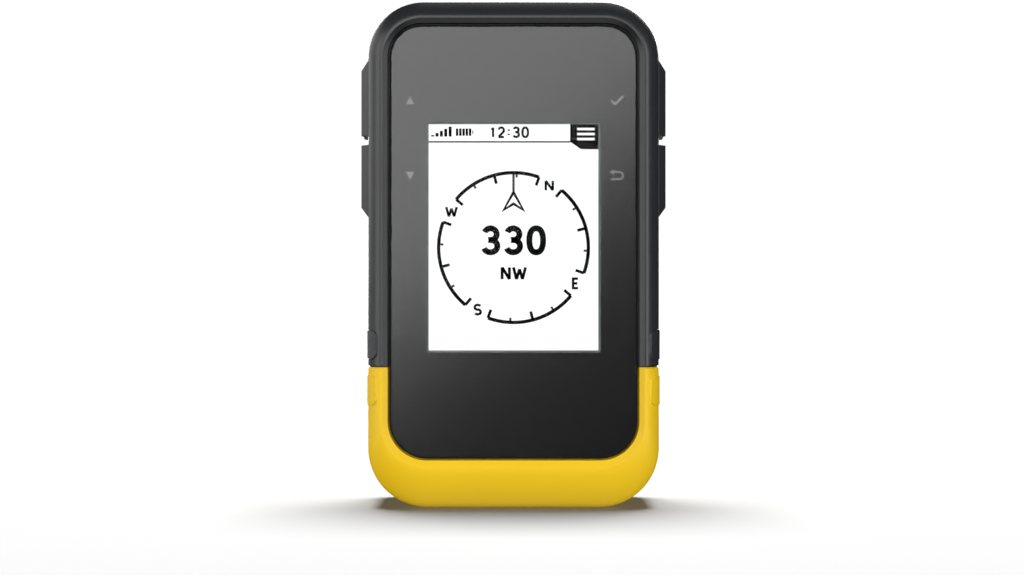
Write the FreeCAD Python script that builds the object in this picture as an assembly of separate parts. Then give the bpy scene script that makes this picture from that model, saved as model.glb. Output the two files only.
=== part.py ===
import FreeCAD, Part
import math
import os

# Handheld satellite navigator, standing upright. Millimetres.
# X is to the viewer's right, +Y goes to the back, +Z is up. The origin is the centre of the footprint.

# ---- Driving dimensions: the outer form ----
BODY_W = 58.5  # across the housing, without the side keys
BODY_H = 101.6
DEPTH = 33.0  # from the front ridge to the top of the mounting spine
SPINE_H = 2.6  # how far the spine stands out of the battery door
WALL = 1.8
TOP_R = 11.1
BOTTOM_R = 12.0
SLOPE_SIDE = 2.8  # front ridge in from the sides
SLOPE_TOP = 3.3  # front ridge down from the top
SLOPE_BOTTOM = 7.9  # front ridge up from the foot
SLOPE_DEPTH = 4.5
SLOPE_POWER = 1.4  # 1 is a flat bevel, 2 a quarter ellipse
BACK_SIDE = 4.5  # rear face in from the sides and the top
BACK_BOTTOM = 2.5
BACK_DEPTH = 7.0
BACK_POWER = 2.2
FRONT_HALF = 18.5  # depth of the front half, from the ridge to the parting plane
SEAM_Z = 28.3  # where the charcoal housing meets the yellow foot
SEAM_GAP = 0.1
SEAM_GROOVE_W = 0.5
SEAM_GROOVE_D = 0.35
TAB_DROP = 4.0  # tongues across the seam start this far below it
TAB_RISE = 3.0
RIDGE_FLAT = 0.3

# ---- Clearances ----
FIT = 0.15  # between moulded pieces
RUN = 0.05  # radial, round a turning pin
HOVER = 0.2  # between a key flange and the wall, and under the ring

# ---- Lens and display ----
LENS_SIDE = 4.45  # lens edge in from the housing's side
LENS_TOP = 4.9
LENS_BOTTOM = 10.0
LENS_R_TOP = 6.5
LENS_R_LOW = 7.5
LENS_T = 1.4
LENS_RECESS = 0.9  # lens face behind the front ridge
LENS_GAP = 0.35
LENS_BEVEL = 0.3
MASK_T = 0.1
MASK_MARGIN = 0.4
SCREEN_R = 0.5
ADHESIVE_T = 0.2
LEDGE_T = 1.3
SCREEN_W = 34.0
SCREEN_H = 45.3
SCREEN_Z = 54.25  # centre of the picture
CELL_BORDER = 2.0
CELL_BORDER_LOW = 5.0
CELL_T = 1.3
LIGHT_T = 1.0
PAN_T = 0.4
PAN_FOOT = 0.8
PAN_FOOT_R = 0.8
PAN_LOW = 0.4  # pan wall stops this far short of the cell's face

# ---- Main board ----
BOARD_T = 1.0
BOARD_EDGE = 2.95  # board edge in from the wall's inner face
BOARD_Z0 = 14.0
BOARD_TOP = 5.6  # board top below the housing's top
BOARD_NECK_Z = 89.6  # above this the board narrows past the screw bosses
BOARD_NECK_W = 35.0
BOARD_SCREW_X = 20.5
BOARD_SCREW_Z = (18.0, 87.3)
POST_R = 2.0
CAN_H = 1.8
CHIP_H = 1.1
ANTENNA_W = 13.0
ANTENNA_T = 2.0
ANTENNA_Z = 88.6
SMALL_SCREW_R = 0.7
SMALL_HEAD_R = 1.5
SMALL_HEAD_H = 0.9
SMALL_SCREW_L = 2.6

# ---- Side keys ----
KEY_LOW_Z = 58.4
KEY_HIGH_Z = 89.8
NOTCH_Z = 73.84
NOTCH_H = 1.9
KEY_PROUD = 1.5
KEY_SLANT = 1.9  # length of the slanted outer end, along Z
KEY_FROM_RIDGE = 7.9  # front end of the keys behind the ridge
KEY_L = 8.2  # along Y
KEY_ROUND = 0.45
KEY_TRAVEL = 0.6
GUARD_RAMP = 2.6
GUARD_REST = 1.1
GUARD_BACK = 2.6
FLANGE_T = 0.6
FLANGE_LIP = 0.75
SWITCH_BODY = 3.5
SWITCH_H = 6.0
SWITCH_STEM = 1.9
SWITCH_GAP = 0.1  # left between key and switch stem at full travel

# ---- Pills on the edge of the front ----
PILL_H = 5.9
PILL_PITCH = 9.15
PILL_Z = 23.6  # centre of the lower pill
PILL_FRONT = 0.5  # behind the ridge
PILL_L = 8.0
PILL_R = 1.4
PILL_PROUD = 0.2
POWER_TRAVEL = 0.4

# ---- Case screws ----
SCREW_X = 22.0
SCREW_LOW_Z = 8.0
SCREW_TOP = 7.6  # upper screws below the housing's top
BOSS_R = 3.0
COLUMN_R = 3.4
INSERT_R = 1.6
INSERT_L = 7.0
SCREW_R = 1.0
SCREW_HEAD_R = 1.9
SCREW_HEAD_H = 1.4
SCREW_L = 12.0
SCREW_SINK = 6.5  # head seat below the rear face
DRIVE_R = 0.8
DRIVE_DEPTH = 0.8

# ---- Batteries and their tray ----
CELL_R = 7.25
CELL_L = 50.5
CELL_PITCH = 15.3
CELL_PLAY = 0.35
NUB_R = 2.75
NUB_H = 1.0
JACKET_T = 0.15
CAN_T = 0.3
BAY_Z0 = 20.0
SPRING_L = 3.8
SPRING_R = 4.4
SPRING_TIP_R = 2.6
SPRING_WIRE = 0.7
CONTACT_T = 0.4
CONTACT_W = 9.0
TAB_W = 3.0
TRAY_WALL = 1.2
TRAY_FLANGE = 5.5  # flange outside the bay, on the long sides
TRAY_FLANGE_TOP = 3.7
FLANGE_R = 6.0

# ---- Battery door, latch and ring ----
DOOR_T = 1.8
DOOR_W = 37.0
DOOR_LOW_Z = 6.5
DOOR_ABOVE = 2.5  # door top above the bay
DOOR_R = 5.0
DOOR_EDGE = 0.5
SEAL_W = 0.9
SEAL_DEPTH = 0.5
SEAL_IN = 1.4  # seal in from the door's edge
SPINE_W = 12.4
SPINE_NECK_W = 9.2
SPINE_HEAD = 1.3
SPINE_LOW_Z = 34.0
SPINE_L = 32.0
SPINE_DETENT_W = 5.0
SPINE_DETENT = 0.7
SPINE_DETENT_DOWN = 6.0  # detent below the spine's upper end
SPINE_R = 1.2
LATCH_Z = 12.6
HUB_R = 5.5
HUB_SINK = 0.9
HUB_T = 1.3
SHAFT_R = 3.0
TONGUE_HALF = 5.6
TONGUE_W = 3.6
TONGUE_T = 1.5
TONGUE_GAP = 0.1
KEEPER_Z = 8.5  # lower edge of the latch window
WINDOW_TOP = 17.5
WINDOW_HALF = 7.0
RING_HALF_W = 6.0
RING_WIRE_R = 0.75
RING_CORNER = 1.6
RING_BAR_UP = 3.6  # bar above the latch centre
RING_LEG = 5.6
LUG_HALF = 2.6
LUG_R = 1.2

# ---- Data socket and weather cap ----
SOCKET_Z = 87.4
SOCKET_W = 9.0
SOCKET_H = 3.3
SOCKET_L = 5.2
SOCKET_WALL = 0.3
SOCKET_TONGUE = 0.7
SOCKET_BACK = 1.6  # socket mouth inside the wall's outer face
PORT_W = 12.7
PORT_H = 7.9
PORT_R = 1.5
CAP_W = 17.0
CAP_LOW = 6.2  # cap edge below the socket's centre
CAP_UP = 7.4
CAP_R = 3.0
CAP_T = 1.3
CAP_SINK = 0.9
PLUG_W = 12.3
PLUG_LOW = 3.5
PLUG_UP = 3.4
PLUG_L = 1.6
PLUG_WALL = 1.0
PLUG_R = 1.3
ANCHOR_W = 10.0
ANCHOR_H = 1.5
ANCHOR_T = 1.0
USB_BOARD_W = 22.0
USB_BOARD_H = 11.0
USB_BOARD_T = 1.0
USB_POST_X = 8.6
FLEX_T = 0.2
FLEX_W = 6.0
FLEX_TOP = 7.0  # flex bends this far below the housing's top

# ---- Lanyard anchor ----
POCKET_W = 10.0
POCKET_H = 4.2
POCKET_WALL = 1.0
POCKET_BEHIND = 1.8  # pocket starts behind the parting plane
POCKET_L = 8.6
LANYARD_PIN_R = 0.9
LANYARD_PIN_Z = 1.9
LANYARD_PIN_BACK = 1.45  # gap behind the pin

# ---- Places that follow from the sizes above ----
RIDGE_Y = -DEPTH / 2
BACK_Y = DEPTH / 2 - SPINE_H
SIDE_Y = RIDGE_Y + SLOPE_DEPTH
PART_Y = RIDGE_Y + FRONT_HALF
BACK_SIDE_Y = BACK_Y - BACK_DEPTH
HALF_W = BODY_W / 2
LENS_Y = RIDGE_Y + LENS_RECESS
LENS_BACK_Y = LENS_Y + LENS_T
LEDGE_Y = LENS_BACK_Y + MASK_T + ADHESIVE_T
LEDGE_BACK_Y = LEDGE_Y + LEDGE_T
LENS_HALF_W = HALF_W - LENS_SIDE
LENS_Z1 = BODY_H - LENS_TOP
CELL_Y = LEDGE_Y
CELL_BACK_Y = CELL_Y + CELL_T
LIGHT_BACK_Y = CELL_BACK_Y + LIGHT_T
PAN_BACK_Y = LIGHT_BACK_Y + PAN_T
PAN_HALF_W = SCREEN_W / 2 + CELL_BORDER + FIT + PAN_T
PAN_Z0 = SCREEN_Z - SCREEN_H / 2 - CELL_BORDER_LOW - FIT - PAN_T
PAN_Z1 = SCREEN_Z + SCREEN_H / 2 + CELL_BORDER + FIT + PAN_T
BOARD_Y = PAN_BACK_Y + PAN_FOOT
BOARD_BACK_Y = BOARD_Y + BOARD_T
BOARD_HALF_W = HALF_W - WALL - BOARD_EDGE
BOARD_Z1 = BODY_H - BOARD_TOP
KEY_Y0 = RIDGE_Y + KEY_FROM_RIDGE
KEY_Y1 = KEY_Y0 + KEY_L
FLANGE_OUT_X = HALF_W - WALL - HOVER
FLANGE_IN_X = FLANGE_OUT_X - FLANGE_T
KEY_SPANS = {
    "low": (KEY_LOW_Z, NOTCH_Z - NOTCH_H / 2),
    "high": (NOTCH_Z + NOTCH_H / 2, KEY_HIGH_Z),
}
POWER_Z = PILL_Z + PILL_PITCH
PILL_Y0 = RIDGE_Y + PILL_FRONT
PILL_Y1 = PILL_Y0 + PILL_L
DOOR_Y = BACK_Y - DOOR_T
CELL_X = CELL_PITCH / 2
CELL_AXIS_Y = DOOR_Y - CELL_PLAY - CELL_R
BAY_R = CELL_R + CELL_PLAY
BAY_HALF_W = CELL_X + BAY_R
BAY_L = 2 * CONTACT_T + SPRING_L + CELL_L
BAY_Z1 = BAY_Z0 + BAY_L
TRAY_HALF_W = BAY_HALF_W + TRAY_WALL
TRAY_FLOOR_Y = CELL_AXIS_Y - BAY_R - TRAY_WALL
DOOR_Z1 = BAY_Z1 + DOOR_ABOVE
HUB_Y = BACK_Y - HUB_SINK
RING_Y = BACK_Y - HUB_SINK + HUB_T + HOVER + RING_WIRE_R
BAR_Z = LATCH_Z + RING_BAR_UP
CAP_Y = BACK_Y - CAP_SINK
CAP_Z0 = SOCKET_Z - CAP_LOW
SOCKET_Y = BACK_Y - SOCKET_BACK
USB_BOARD_Y = SOCKET_Y - SOCKET_L
SCREW_PLACES = [
    (side * SCREW_X, z)
    for side in (-1, 1)
    for z in (SCREW_LOW_Z, BODY_H - SCREW_TOP)
]


# ---- Shapes shared by many pieces ----
def box(x0, x1, y0, y1, z0, z1):
    return Part.makeBox(x1 - x0, y1 - y0, z1 - z0, FreeCAD.Vector(x0, y0, z0))


def rod_y(x, z, radius, y0, y1):
    return Part.makeCylinder(radius, y1 - y0, FreeCAD.Vector(x, y0, z), FreeCAD.Vector(0, 1, 0))


def rod_z(x, y, radius, z0, z1):
    return Part.makeCylinder(radius, z1 - z0, FreeCAD.Vector(x, y, z0), FreeCAD.Vector(0, 0, 1))


def corner_arc(cx, cz, radius, start_deg, y):
    """A quarter circle in the plane at depth y, anticlockwise from a start angle seen from +X to +Z."""
    points = []
    for turn in (0, 45, 90):
        angle = math.radians(start_deg + turn)
        points.append(FreeCAD.Vector(cx + radius * math.cos(angle), y, cz + radius * math.sin(angle)))
    return Part.Arc(*points).toShape()


def rounded_wire(y, half_w, z0, z1, r_low, r_top):
    """A rectangle with round corners, upright at depth y: four lines and four arcs."""
    def line(xa, za, xb, zb):
        return Part.LineSegment(FreeCAD.Vector(xa, y, za), FreeCAD.Vector(xb, y, zb)).toShape()

    edges = [
        line(-half_w + r_low, z0, half_w - r_low, z0),
        corner_arc(half_w - r_low, z0 + r_low, r_low, -90, y),
        line(half_w, z0 + r_low, half_w, z1 - r_top),
        corner_arc(half_w - r_top, z1 - r_top, r_top, 0, y),
        line(half_w - r_top, z1, -half_w + r_top, z1),
        corner_arc(-half_w + r_top, z1 - r_top, r_top, 90, y),
        line(-half_w, z1 - r_top, -half_w, z0 + r_low),
        corner_arc(-half_w + r_low, z0 + r_low, r_low, 180, y),
    ]
    return Part.Wire(edges)


def plate(y0, y1, half_w, z0, z1, r_low, r_top):
    """A flat slab with round corners, from depth y0 to y1."""
    face = Part.Face(rounded_wire(y0, half_w, z0, z1, r_low, r_top))
    return face.extrude(FreeCAD.Vector(0, y1 - y0, 0))


def ring_plate(y0, y1, outer, inner):
    """A flat frame: one slab with another cut out of it. Each outline is (half_w, z0, z1, r_low, r_top)."""
    return plate(y0, y1, *outer).cut(plate(y0, y1, *inner))


def body_wire(y, side_inset, top_inset, bottom_inset, inward):
    """The housing's outline at one depth. The top and bottom may be drawn in more than the sides."""
    side = side_inset + inward
    return rounded_wire(
        y,
        HALF_W - side,
        bottom_inset + inward,
        BODY_H - top_inset - inward,
        BOTTOM_R - side,
        TOP_R - side,
    )


def bent_loft(y_flat, y_end, side_inset, top_inset, bottom_inset, power, inward):
    """The rounded slope between the straight sides at y_flat and the end plane at y_end."""
    wires = []
    steps = 6
    for step in range(steps + 1):
        angle = math.radians(90 * step / steps)
        out = math.cos(angle) ** (2 / power)
        along = math.sin(angle) ** (2 / power)
        y = y_flat + (y_end - y_flat) * along
        side, top, bottom = (inset * (1 - out) for inset in (side_inset, top_inset, bottom_inset))
        wires.append(body_wire(y, side, top, bottom, inward))
    return Part.makeLoft(wires, True, False)


def envelope(inward):
    """The closed unit's outer form, drawn in by a distance on every side."""
    front = bent_loft(SIDE_Y, RIDGE_Y + inward, SLOPE_SIDE, SLOPE_TOP, SLOPE_BOTTOM, SLOPE_POWER, inward)
    back = bent_loft(BACK_SIDE_Y, BACK_Y - inward, BACK_SIDE, BACK_SIDE, BACK_BOTTOM, BACK_POWER, inward)
    middle = plate(
        SIDE_Y,
        BACK_SIDE_Y,
        HALF_W - inward,
        inward,
        BODY_H - inward,
        BOTTOM_R - inward,
        TOP_R - inward,
    )
    return front.fuse([middle, back])


def outside_box(y0, y1, z0, z1):
    """A box much wider than the unit, for cutting it at a plane."""
    return box(-BODY_W, BODY_W, y0, y1, z0, z1)


def one_solid(shape):
    """The single solid of a finished piece."""
    solids = shape.removeSplitter().Solids
    assert len(solids) == 1, "a piece came out as %d solids" % len(solids)
    return solids[0]


# ---- The key bulges ----
def key_points(side, z0, z1, proud, root_x):
    """A key's outline in X and Z: slanted at its outer end, square at the notch."""
    slant = KEY_SLANT * proud / KEY_PROUD
    if z0 > NOTCH_Z:
        ends = (z0, z1 - slant, z1)
    else:
        ends = (z1, z0 + slant, z0)
    square_z, slant_z, foot_z = ends
    return [
        (side * root_x, square_z),
        (side * (HALF_W + proud), square_z),
        (side * (HALF_W + proud), slant_z),
        (side * HALF_W, foot_z),
        (side * root_x, foot_z),
    ]


def key_wire(y, points):
    corners = [FreeCAD.Vector(x, y, z) for x, z in points]
    return Part.makePolygon(corners + [corners[0]])


def key_guard(side, z0, z1):
    """The bulge in front of and behind a key. It has the key's outline and slopes into the side wall."""
    root_x = HALF_W - WALL / 2
    sliver = 0.02
    full = key_points(side, z0, z1, KEY_PROUD, root_x)
    flat = key_points(side, z0, z1, sliver, root_x)
    ramp_y = KEY_Y0 - GUARD_REST
    front = Part.makeLoft([key_wire(ramp_y - GUARD_RAMP, flat), key_wire(ramp_y, full)], True, True)
    front_rest = Part.Face(key_wire(ramp_y, full)).extrude(FreeCAD.Vector(0, GUARD_REST, 0))
    back_y = KEY_Y1 + GUARD_BACK
    back_rest = Part.Face(key_wire(KEY_Y1, full)).extrude(FreeCAD.Vector(0, GUARD_BACK, 0))
    back = Part.makeLoft([key_wire(back_y, full), key_wire(back_y + GUARD_RAMP, flat)], True, True)
    return front.fuse([front_rest, back_rest, back])


def all_guards():
    return [key_guard(side, *span) for side in (-1, 1) for span in KEY_SPANS.values()]


def key_opening(side, z0, z1):
    """The slot in the side wall that a key slides in."""
    xs = sorted((side * (HALF_W - WALL - 1), side * (HALF_W + KEY_PROUD + 1)))
    return box(xs[0], xs[1], KEY_Y0, KEY_Y1, z0 - FIT, z1 + FIT)


def side_key(side, span):
    """A key cap with a flange behind the wall that holds it in."""
    z0, z1 = span
    points = key_points(side, z0, z1, KEY_PROUD, FLANGE_IN_X)
    length = KEY_L - 2 * FIT
    cap = Part.Face(key_wire(KEY_Y0 + FIT, points)).extrude(FreeCAD.Vector(0, length, 0))
    proud_x = HALF_W + KEY_PROUD
    rim = []
    for edge in cap.Edges:
        ends = [abs(abs(v.Point.x) - proud_x) < 1e-6 for v in edge.Vertexes]
        if all(ends):
            rim.append(edge)
    cap = cap.makeFillet(KEY_ROUND, rim)
    xs = sorted((side * FLANGE_IN_X, side * FLANGE_OUT_X))
    flange = box(
        xs[0],
        xs[1],
        KEY_Y0 + FIT - FLANGE_LIP,
        KEY_Y1 - FIT + FLANGE_LIP,
        z0 - FLANGE_LIP,
        z1 + FLANGE_LIP,
    )
    return one_solid(cap.fuse(flange))


# ---- The pills on the front edge ----
def pill_prism(side, z, grow, x_in):
    """A rounded bar along X over one pill, from x_in outwards."""
    half = PILL_H / 2 + grow
    wire = rounded_wire(0, half, -PILL_L / 2 - grow, PILL_L / 2 + grow, PILL_R + grow, PILL_R + grow)
    prism = Part.Face(wire).extrude(FreeCAD.Vector(0, HALF_W - x_in + 2, 0))
    prism.rotate(FreeCAD.Vector(0, 0, 0), FreeCAD.Vector(1, 0, 0), 90)
    prism.rotate(FreeCAD.Vector(0, 0, 0), FreeCAD.Vector(0, 1, 0), side * 90)
    prism.translate(FreeCAD.Vector(side * x_in, PILL_Y0 + PILL_L / 2, z))
    return prism


def fixed_pill(side, z, skin):
    """A raised grip pad moulded on the housing."""
    return pill_prism(side, z, 0, HALF_W - WALL / 2 - SLOPE_SIDE / 2).common(skin)


def power_key(skin):
    """The pill on the left of the charcoal part, cut free so that it can be pressed."""
    cap = pill_prism(-1, POWER_Z, -FIT, FLANGE_OUT_X - HOVER / 2).common(skin)
    flange = box(
        -FLANGE_OUT_X,
        -FLANGE_IN_X,
        LEDGE_BACK_Y + FIT,
        PILL_Y1 - FIT + FLANGE_LIP,
        POWER_Z - PILL_H / 2 - FLANGE_LIP,
        POWER_Z + PILL_H / 2 + FLANGE_LIP,
    )
    return one_solid(cap.fuse(flange))


def power_opening():
    pocket_x = FLANGE_OUT_X - HOVER - POWER_TRAVEL
    return pill_prism(-1, POWER_Z, 0, pocket_x)


# ---- The front half ----
def crest_outline():
    """The inner edge of the front ridge."""
    side = SLOPE_SIDE + RIDGE_FLAT
    return (
        HALF_W - side,
        SLOPE_BOTTOM + RIDGE_FLAT,
        BODY_H - SLOPE_TOP - RIDGE_FLAT,
        BOTTOM_R - side,
        TOP_R - side,
    )


def lens_outline(grow):
    return (
        LENS_HALF_W + grow,
        LENS_BOTTOM - grow,
        LENS_Z1 + grow,
        LENS_R_LOW + grow,
        LENS_R_TOP + grow,
    )


def front_bosses():
    bosses = [rod_y(x, z, BOSS_R, LEDGE_BACK_Y - LEDGE_T / 2, PART_Y) for x, z in SCREW_PLACES]
    for side in (-1, 1):
        for z in BOARD_SCREW_Z:
            bosses.append(rod_y(side * BOARD_SCREW_X, z, POST_R, LEDGE_BACK_Y - LEDGE_T / 2, BOARD_Y))
    return bosses


def front_holes():
    holes = [rod_y(x, z, INSERT_R, PART_Y - INSERT_L, PART_Y) for x, z in SCREW_PLACES]
    for x, z in SCREW_PLACES:
        holes.append(rod_y(x, z, SCREW_R + RUN, PART_Y - SCREW_L, PART_Y))
    for side in (-1, 1):
        for z in BOARD_SCREW_Z:
            deep_y = BOARD_BACK_Y - SMALL_SCREW_L
            holes.append(rod_y(side * BOARD_SCREW_X, z, SMALL_SCREW_R, deep_y, BOARD_Y))
    return holes


def join_tabs(y0, y1):
    """Tongues on the yellow foot that reach up inside the charcoal housing."""
    tabs = []
    for side in (-1, 1):
        xs = sorted((side * (HALF_W - WALL), side * (HALF_W - WALL - TRAY_WALL)))
        tabs.append(box(xs[0], xs[1], y0, y1, SEAM_Z - TAB_DROP, SEAM_Z + TAB_RISE))
    return tabs


def seam_groove(outer):
    """The shallow channel round the unit where the two colours meet."""
    slab = outside_box(-DEPTH, DEPTH, SEAM_Z - SEAM_GROOVE_W / 2, SEAM_Z + SEAM_GROOVE_W / 2)
    return slab.cut(envelope(SEAM_GROOVE_D))


def whole_front(outer, inner, skin):
    """The front half before it is split into its two colours."""
    shell = outer.common(outside_box(RIDGE_Y - 1, PART_Y, -1, BODY_H + 1))
    cavity = inner.common(outside_box(LEDGE_BACK_Y, PART_Y + 1, -1, BODY_H + 1))
    shell = shell.cut(cavity)
    core = envelope(WALL / 2)
    shell = shell.fuse([boss.common(core) for boss in front_bosses()])
    forward = outside_box(RIDGE_Y, PART_Y, 0, BODY_H)
    shell = shell.fuse([guard.common(forward) for guard in all_guards()])
    pills = [fixed_pill(side, PILL_Z, skin) for side in (-1, 1)]
    pills.append(fixed_pill(1, POWER_Z, skin))
    shell = shell.fuse(pills)
    lip = Part.makeLoft(
        [
            rounded_wire(RIDGE_Y, *crest_outline()),
            rounded_wire(LENS_Y, *lens_outline(LENS_GAP)),
        ],
        True,
        True,
    )
    recess = plate(LENS_Y, LEDGE_Y, *lens_outline(LENS_GAP))
    window = box(
        -PAN_HALF_W - FIT,
        PAN_HALF_W + FIT,
        LEDGE_Y - 1,
        LEDGE_BACK_Y + 1,
        PAN_Z0 - FIT,
        PAN_Z1 + FIT,
    )
    tools = [lip, recess, window, power_opening()] + front_holes()
    tools += [key_opening(side, *span) for side in (-1, 1) for span in KEY_SPANS.values()]
    return shell.cut(tools)


def upper(shape):
    return shape.common(outside_box(-DEPTH, DEPTH, SEAM_Z + SEAM_GAP / 2, BODY_H + 1))


def lower(shape):
    return shape.common(outside_box(-DEPTH, DEPTH, -1, SEAM_Z - SEAM_GAP / 2))


# ---- The back half ----
def door_outline(grow):
    return (DOOR_W / 2 + grow, DOOR_LOW_Z - grow, DOOR_Z1 + grow, DOOR_R + grow, DOOR_R + grow)


def seal_outline(grow):
    return door_outline(-SEAL_IN - SEAL_W / 2 + grow)


def lanyard_pocket(grow, top):
    y0 = PART_Y + POCKET_BEHIND
    half = POCKET_W / 2 + grow
    return box(-half, half, y0 - grow, y0 + POCKET_L + grow, -1, top)


def lanyard_pin():
    half = POCKET_W / 2 + POCKET_WALL
    y = PART_Y + POCKET_BEHIND + POCKET_L - LANYARD_PIN_BACK - LANYARD_PIN_R
    start = FreeCAD.Vector(-half, y, LANYARD_PIN_Z)
    return Part.makeCylinder(LANYARD_PIN_R, 2 * half, start, FreeCAD.Vector(1, 0, 0))


def usb_posts():
    return [
        rod_y(side * USB_POST_X, SOCKET_Z, POST_R, USB_BOARD_Y + USB_BOARD_T, BACK_Y - WALL / 2)
        for side in (-1, 1)
    ]


def whole_back(outer, inner):
    """The back half before it is split into its two colours."""
    shell = outer.common(outside_box(PART_Y, BACK_Y + 1, -1, BODY_H + 1))
    shell = shell.cut(inner.common(outside_box(PART_Y - 1, BACK_Y, -1, BODY_H + 1)))
    core = envelope(WALL / 2)
    columns = [rod_y(x, z, COLUMN_R, PART_Y, BACK_Y).common(core) for x, z in SCREW_PLACES]
    pocket_skin = lanyard_pocket(POCKET_WALL, POCKET_H + POCKET_WALL).common(core)
    behind = outside_box(PART_Y, BACK_Y, 0, BODY_H)
    guards = [guard.common(behind) for guard in all_guards()]
    shell = shell.fuse(columns + usb_posts() + [pocket_skin] + guards)
    seat_y = BACK_Y - SCREW_SINK
    tools = [plate(DOOR_Y - 1, BACK_Y + 1, *door_outline(FIT))]
    for x, z in SCREW_PLACES:
        tools.append(rod_y(x, z, SCREW_R + FIT, PART_Y - 1, BACK_Y))
        tools.append(rod_y(x, z, SCREW_HEAD_R + FIT, seat_y, BACK_Y + 1))
    for side in (-1, 1):
        deep_y = USB_BOARD_Y + SMALL_SCREW_L
        tools.append(rod_y(side * USB_POST_X, SOCKET_Z, SMALL_SCREW_R, USB_BOARD_Y, deep_y))
    tools.append(lanyard_pocket(0, POCKET_H))
    tools.append(lanyard_pin())
    tools.append(cap_plate(FIT, 1))
    tools.append(port_hole())
    tools.append(cap_anchor(0.01))
    tools.append(housing_seal())
    return shell.cut(tools)


def housing_seal():
    """The rubber cord in the rim of the back half."""
    def outline(inward):
        r_low = BOTTOM_R - inward
        return (HALF_W - inward, inward, BODY_H - inward, r_low, TOP_R - inward)

    margin = (WALL - SEAL_W) / 2
    return ring_plate(PART_Y, PART_Y + SEAL_W, outline(margin), outline(margin + SEAL_W))


# ---- Lens and display ----
def display_lens():
    lens = plate(LENS_Y, LENS_BACK_Y, *lens_outline(0))
    front_edges = [e for e in lens.Edges if all(abs(v.Point.y - LENS_Y) < 1e-6 for v in e.Vertexes)]
    return lens.makeChamfer(LENS_BEVEL, front_edges)


def screen_outline(grow):
    half_h = SCREEN_H / 2 + grow
    return (SCREEN_W / 2 + grow, SCREEN_Z - half_h, SCREEN_Z + half_h, SCREEN_R, SCREEN_R)


def lens_mask():
    """The black print on the back of the lens, open over the picture."""
    return ring_plate(LENS_BACK_Y, LENS_BACK_Y + MASK_T, lens_outline(0), screen_outline(MASK_MARGIN))


def lens_adhesive():
    inner = (PAN_HALF_W + FIT, PAN_Z0 - FIT, PAN_Z1 + FIT, SCREEN_R, SCREEN_R)
    return ring_plate(LENS_BACK_Y + MASK_T, LEDGE_Y, lens_outline(0), inner)


def cell_box(y0, y1, grow):
    half = SCREEN_W / 2 + CELL_BORDER + grow
    z0 = SCREEN_Z - SCREEN_H / 2 - CELL_BORDER_LOW - grow
    z1 = SCREEN_Z + SCREEN_H / 2 + CELL_BORDER + grow
    return box(-half, half, y0, y1, z0, z1)


def lcd_frame():
    """The steel pan that holds the display cell and its light, on four feet."""
    pan = box(-PAN_HALF_W, PAN_HALF_W, CELL_Y + PAN_LOW, PAN_BACK_Y, PAN_Z0, PAN_Z1)
    pan = pan.cut(cell_box(CELL_Y, LIGHT_BACK_Y, FIT))
    feet = []
    for side in (-1, 1):
        for z in (PAN_Z0 + 2 * PAN_FOOT_R, PAN_Z1 - 2 * PAN_FOOT_R):
            x = side * (PAN_HALF_W - 2 * PAN_FOOT_R)
            feet.append(rod_y(x, z, PAN_FOOT_R, PAN_BACK_Y, BOARD_Y))
    return one_solid(pan.fuse(feet))


def folded_strip(width, x, y_far, y_near, z_end, z_bend):
    """A flat flex cable: up one face, across, and down the face that is nearer to the front."""
    low, high = sorted((z_end, z_bend))
    far_leg = box(x - width / 2, x + width / 2, y_far - FLEX_T, y_far, low, high)
    near_leg = box(x - width / 2, x + width / 2, y_near, y_near + FLEX_T, low, high)
    z0, z1 = sorted((z_bend, z_bend + math.copysign(FLEX_T, z_bend - z_end)))
    bridge = box(x - width / 2, x + width / 2, y_near, y_far, z0, z1)
    return one_solid(far_leg.fuse([near_leg, bridge]))


def lcd_flex():
    """The display's cable, from under the pan to a connector on the board."""
    return folded_strip(3 * FLEX_W, 0, BOARD_Y, LEDGE_BACK_Y, PAN_Z0 - FIT, BOARD_Z0 + FLEX_W)


# ---- Boards and what they carry ----
def main_board():
    board = box(-BOARD_HALF_W, BOARD_HALF_W, BOARD_Y, BOARD_BACK_Y, BOARD_Z0, BOARD_NECK_Z)
    half_neck = BOARD_NECK_W / 2
    neck = box(-half_neck, half_neck, BOARD_Y, BOARD_BACK_Y, BOARD_NECK_Z, BOARD_Z1)
    holes = [
        rod_y(side * BOARD_SCREW_X, z, SMALL_SCREW_R + RUN, BOARD_Y - 1, BOARD_BACK_Y + 1)
        for side in (-1, 1)
        for z in BOARD_SCREW_Z
    ]
    for end_z in (BAY_Z0, BAY_Z1):
        for side in (-1, 1):
            holes.append(contact_tab(side, end_z, FIT))
    return one_solid(board.fuse(neck).cut(holes))


def board_chips():
    """Memory, power and radio chips on the back of the board."""
    chips = []
    for x, z, w, h in ((-12, 56, 9, 9), (-13, 36, 7, 7), (9, 30, 6, 4), (1, 84, 5, 5), (14, 68, 4, 6)):
        chips.append(box(x - w / 2, x + w / 2, BOARD_BACK_Y, BOARD_BACK_Y + CHIP_H, z - h / 2, z + h / 2))
    return Part.makeCompound(chips)


def shield_cans():
    """Two folded steel lids over the radio circuits."""
    cans = []
    sheet = 0.2
    for x, z, w, h in ((6, 50, 16, 18), (-6, 70, 14, 9)):
        y = BOARD_BACK_Y
        lid = box(x - w / 2, x + w / 2, y, y + CAN_H, z - h / 2, z + h / 2)
        inside = box(
            x - w / 2 + sheet,
            x + w / 2 - sheet,
            y - 1,
            y + CAN_H - sheet,
            z - h / 2 + sheet,
            z + h / 2 - sheet,
        )
        cans.append(lid.cut(inside))
    return Part.makeCompound(cans)


def gnss_antenna():
    half = ANTENNA_W / 2
    return box(-half, half, BOARD_Y - ANTENNA_T, BOARD_Y, ANTENNA_Z - half, ANTENNA_Z + half)


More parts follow.
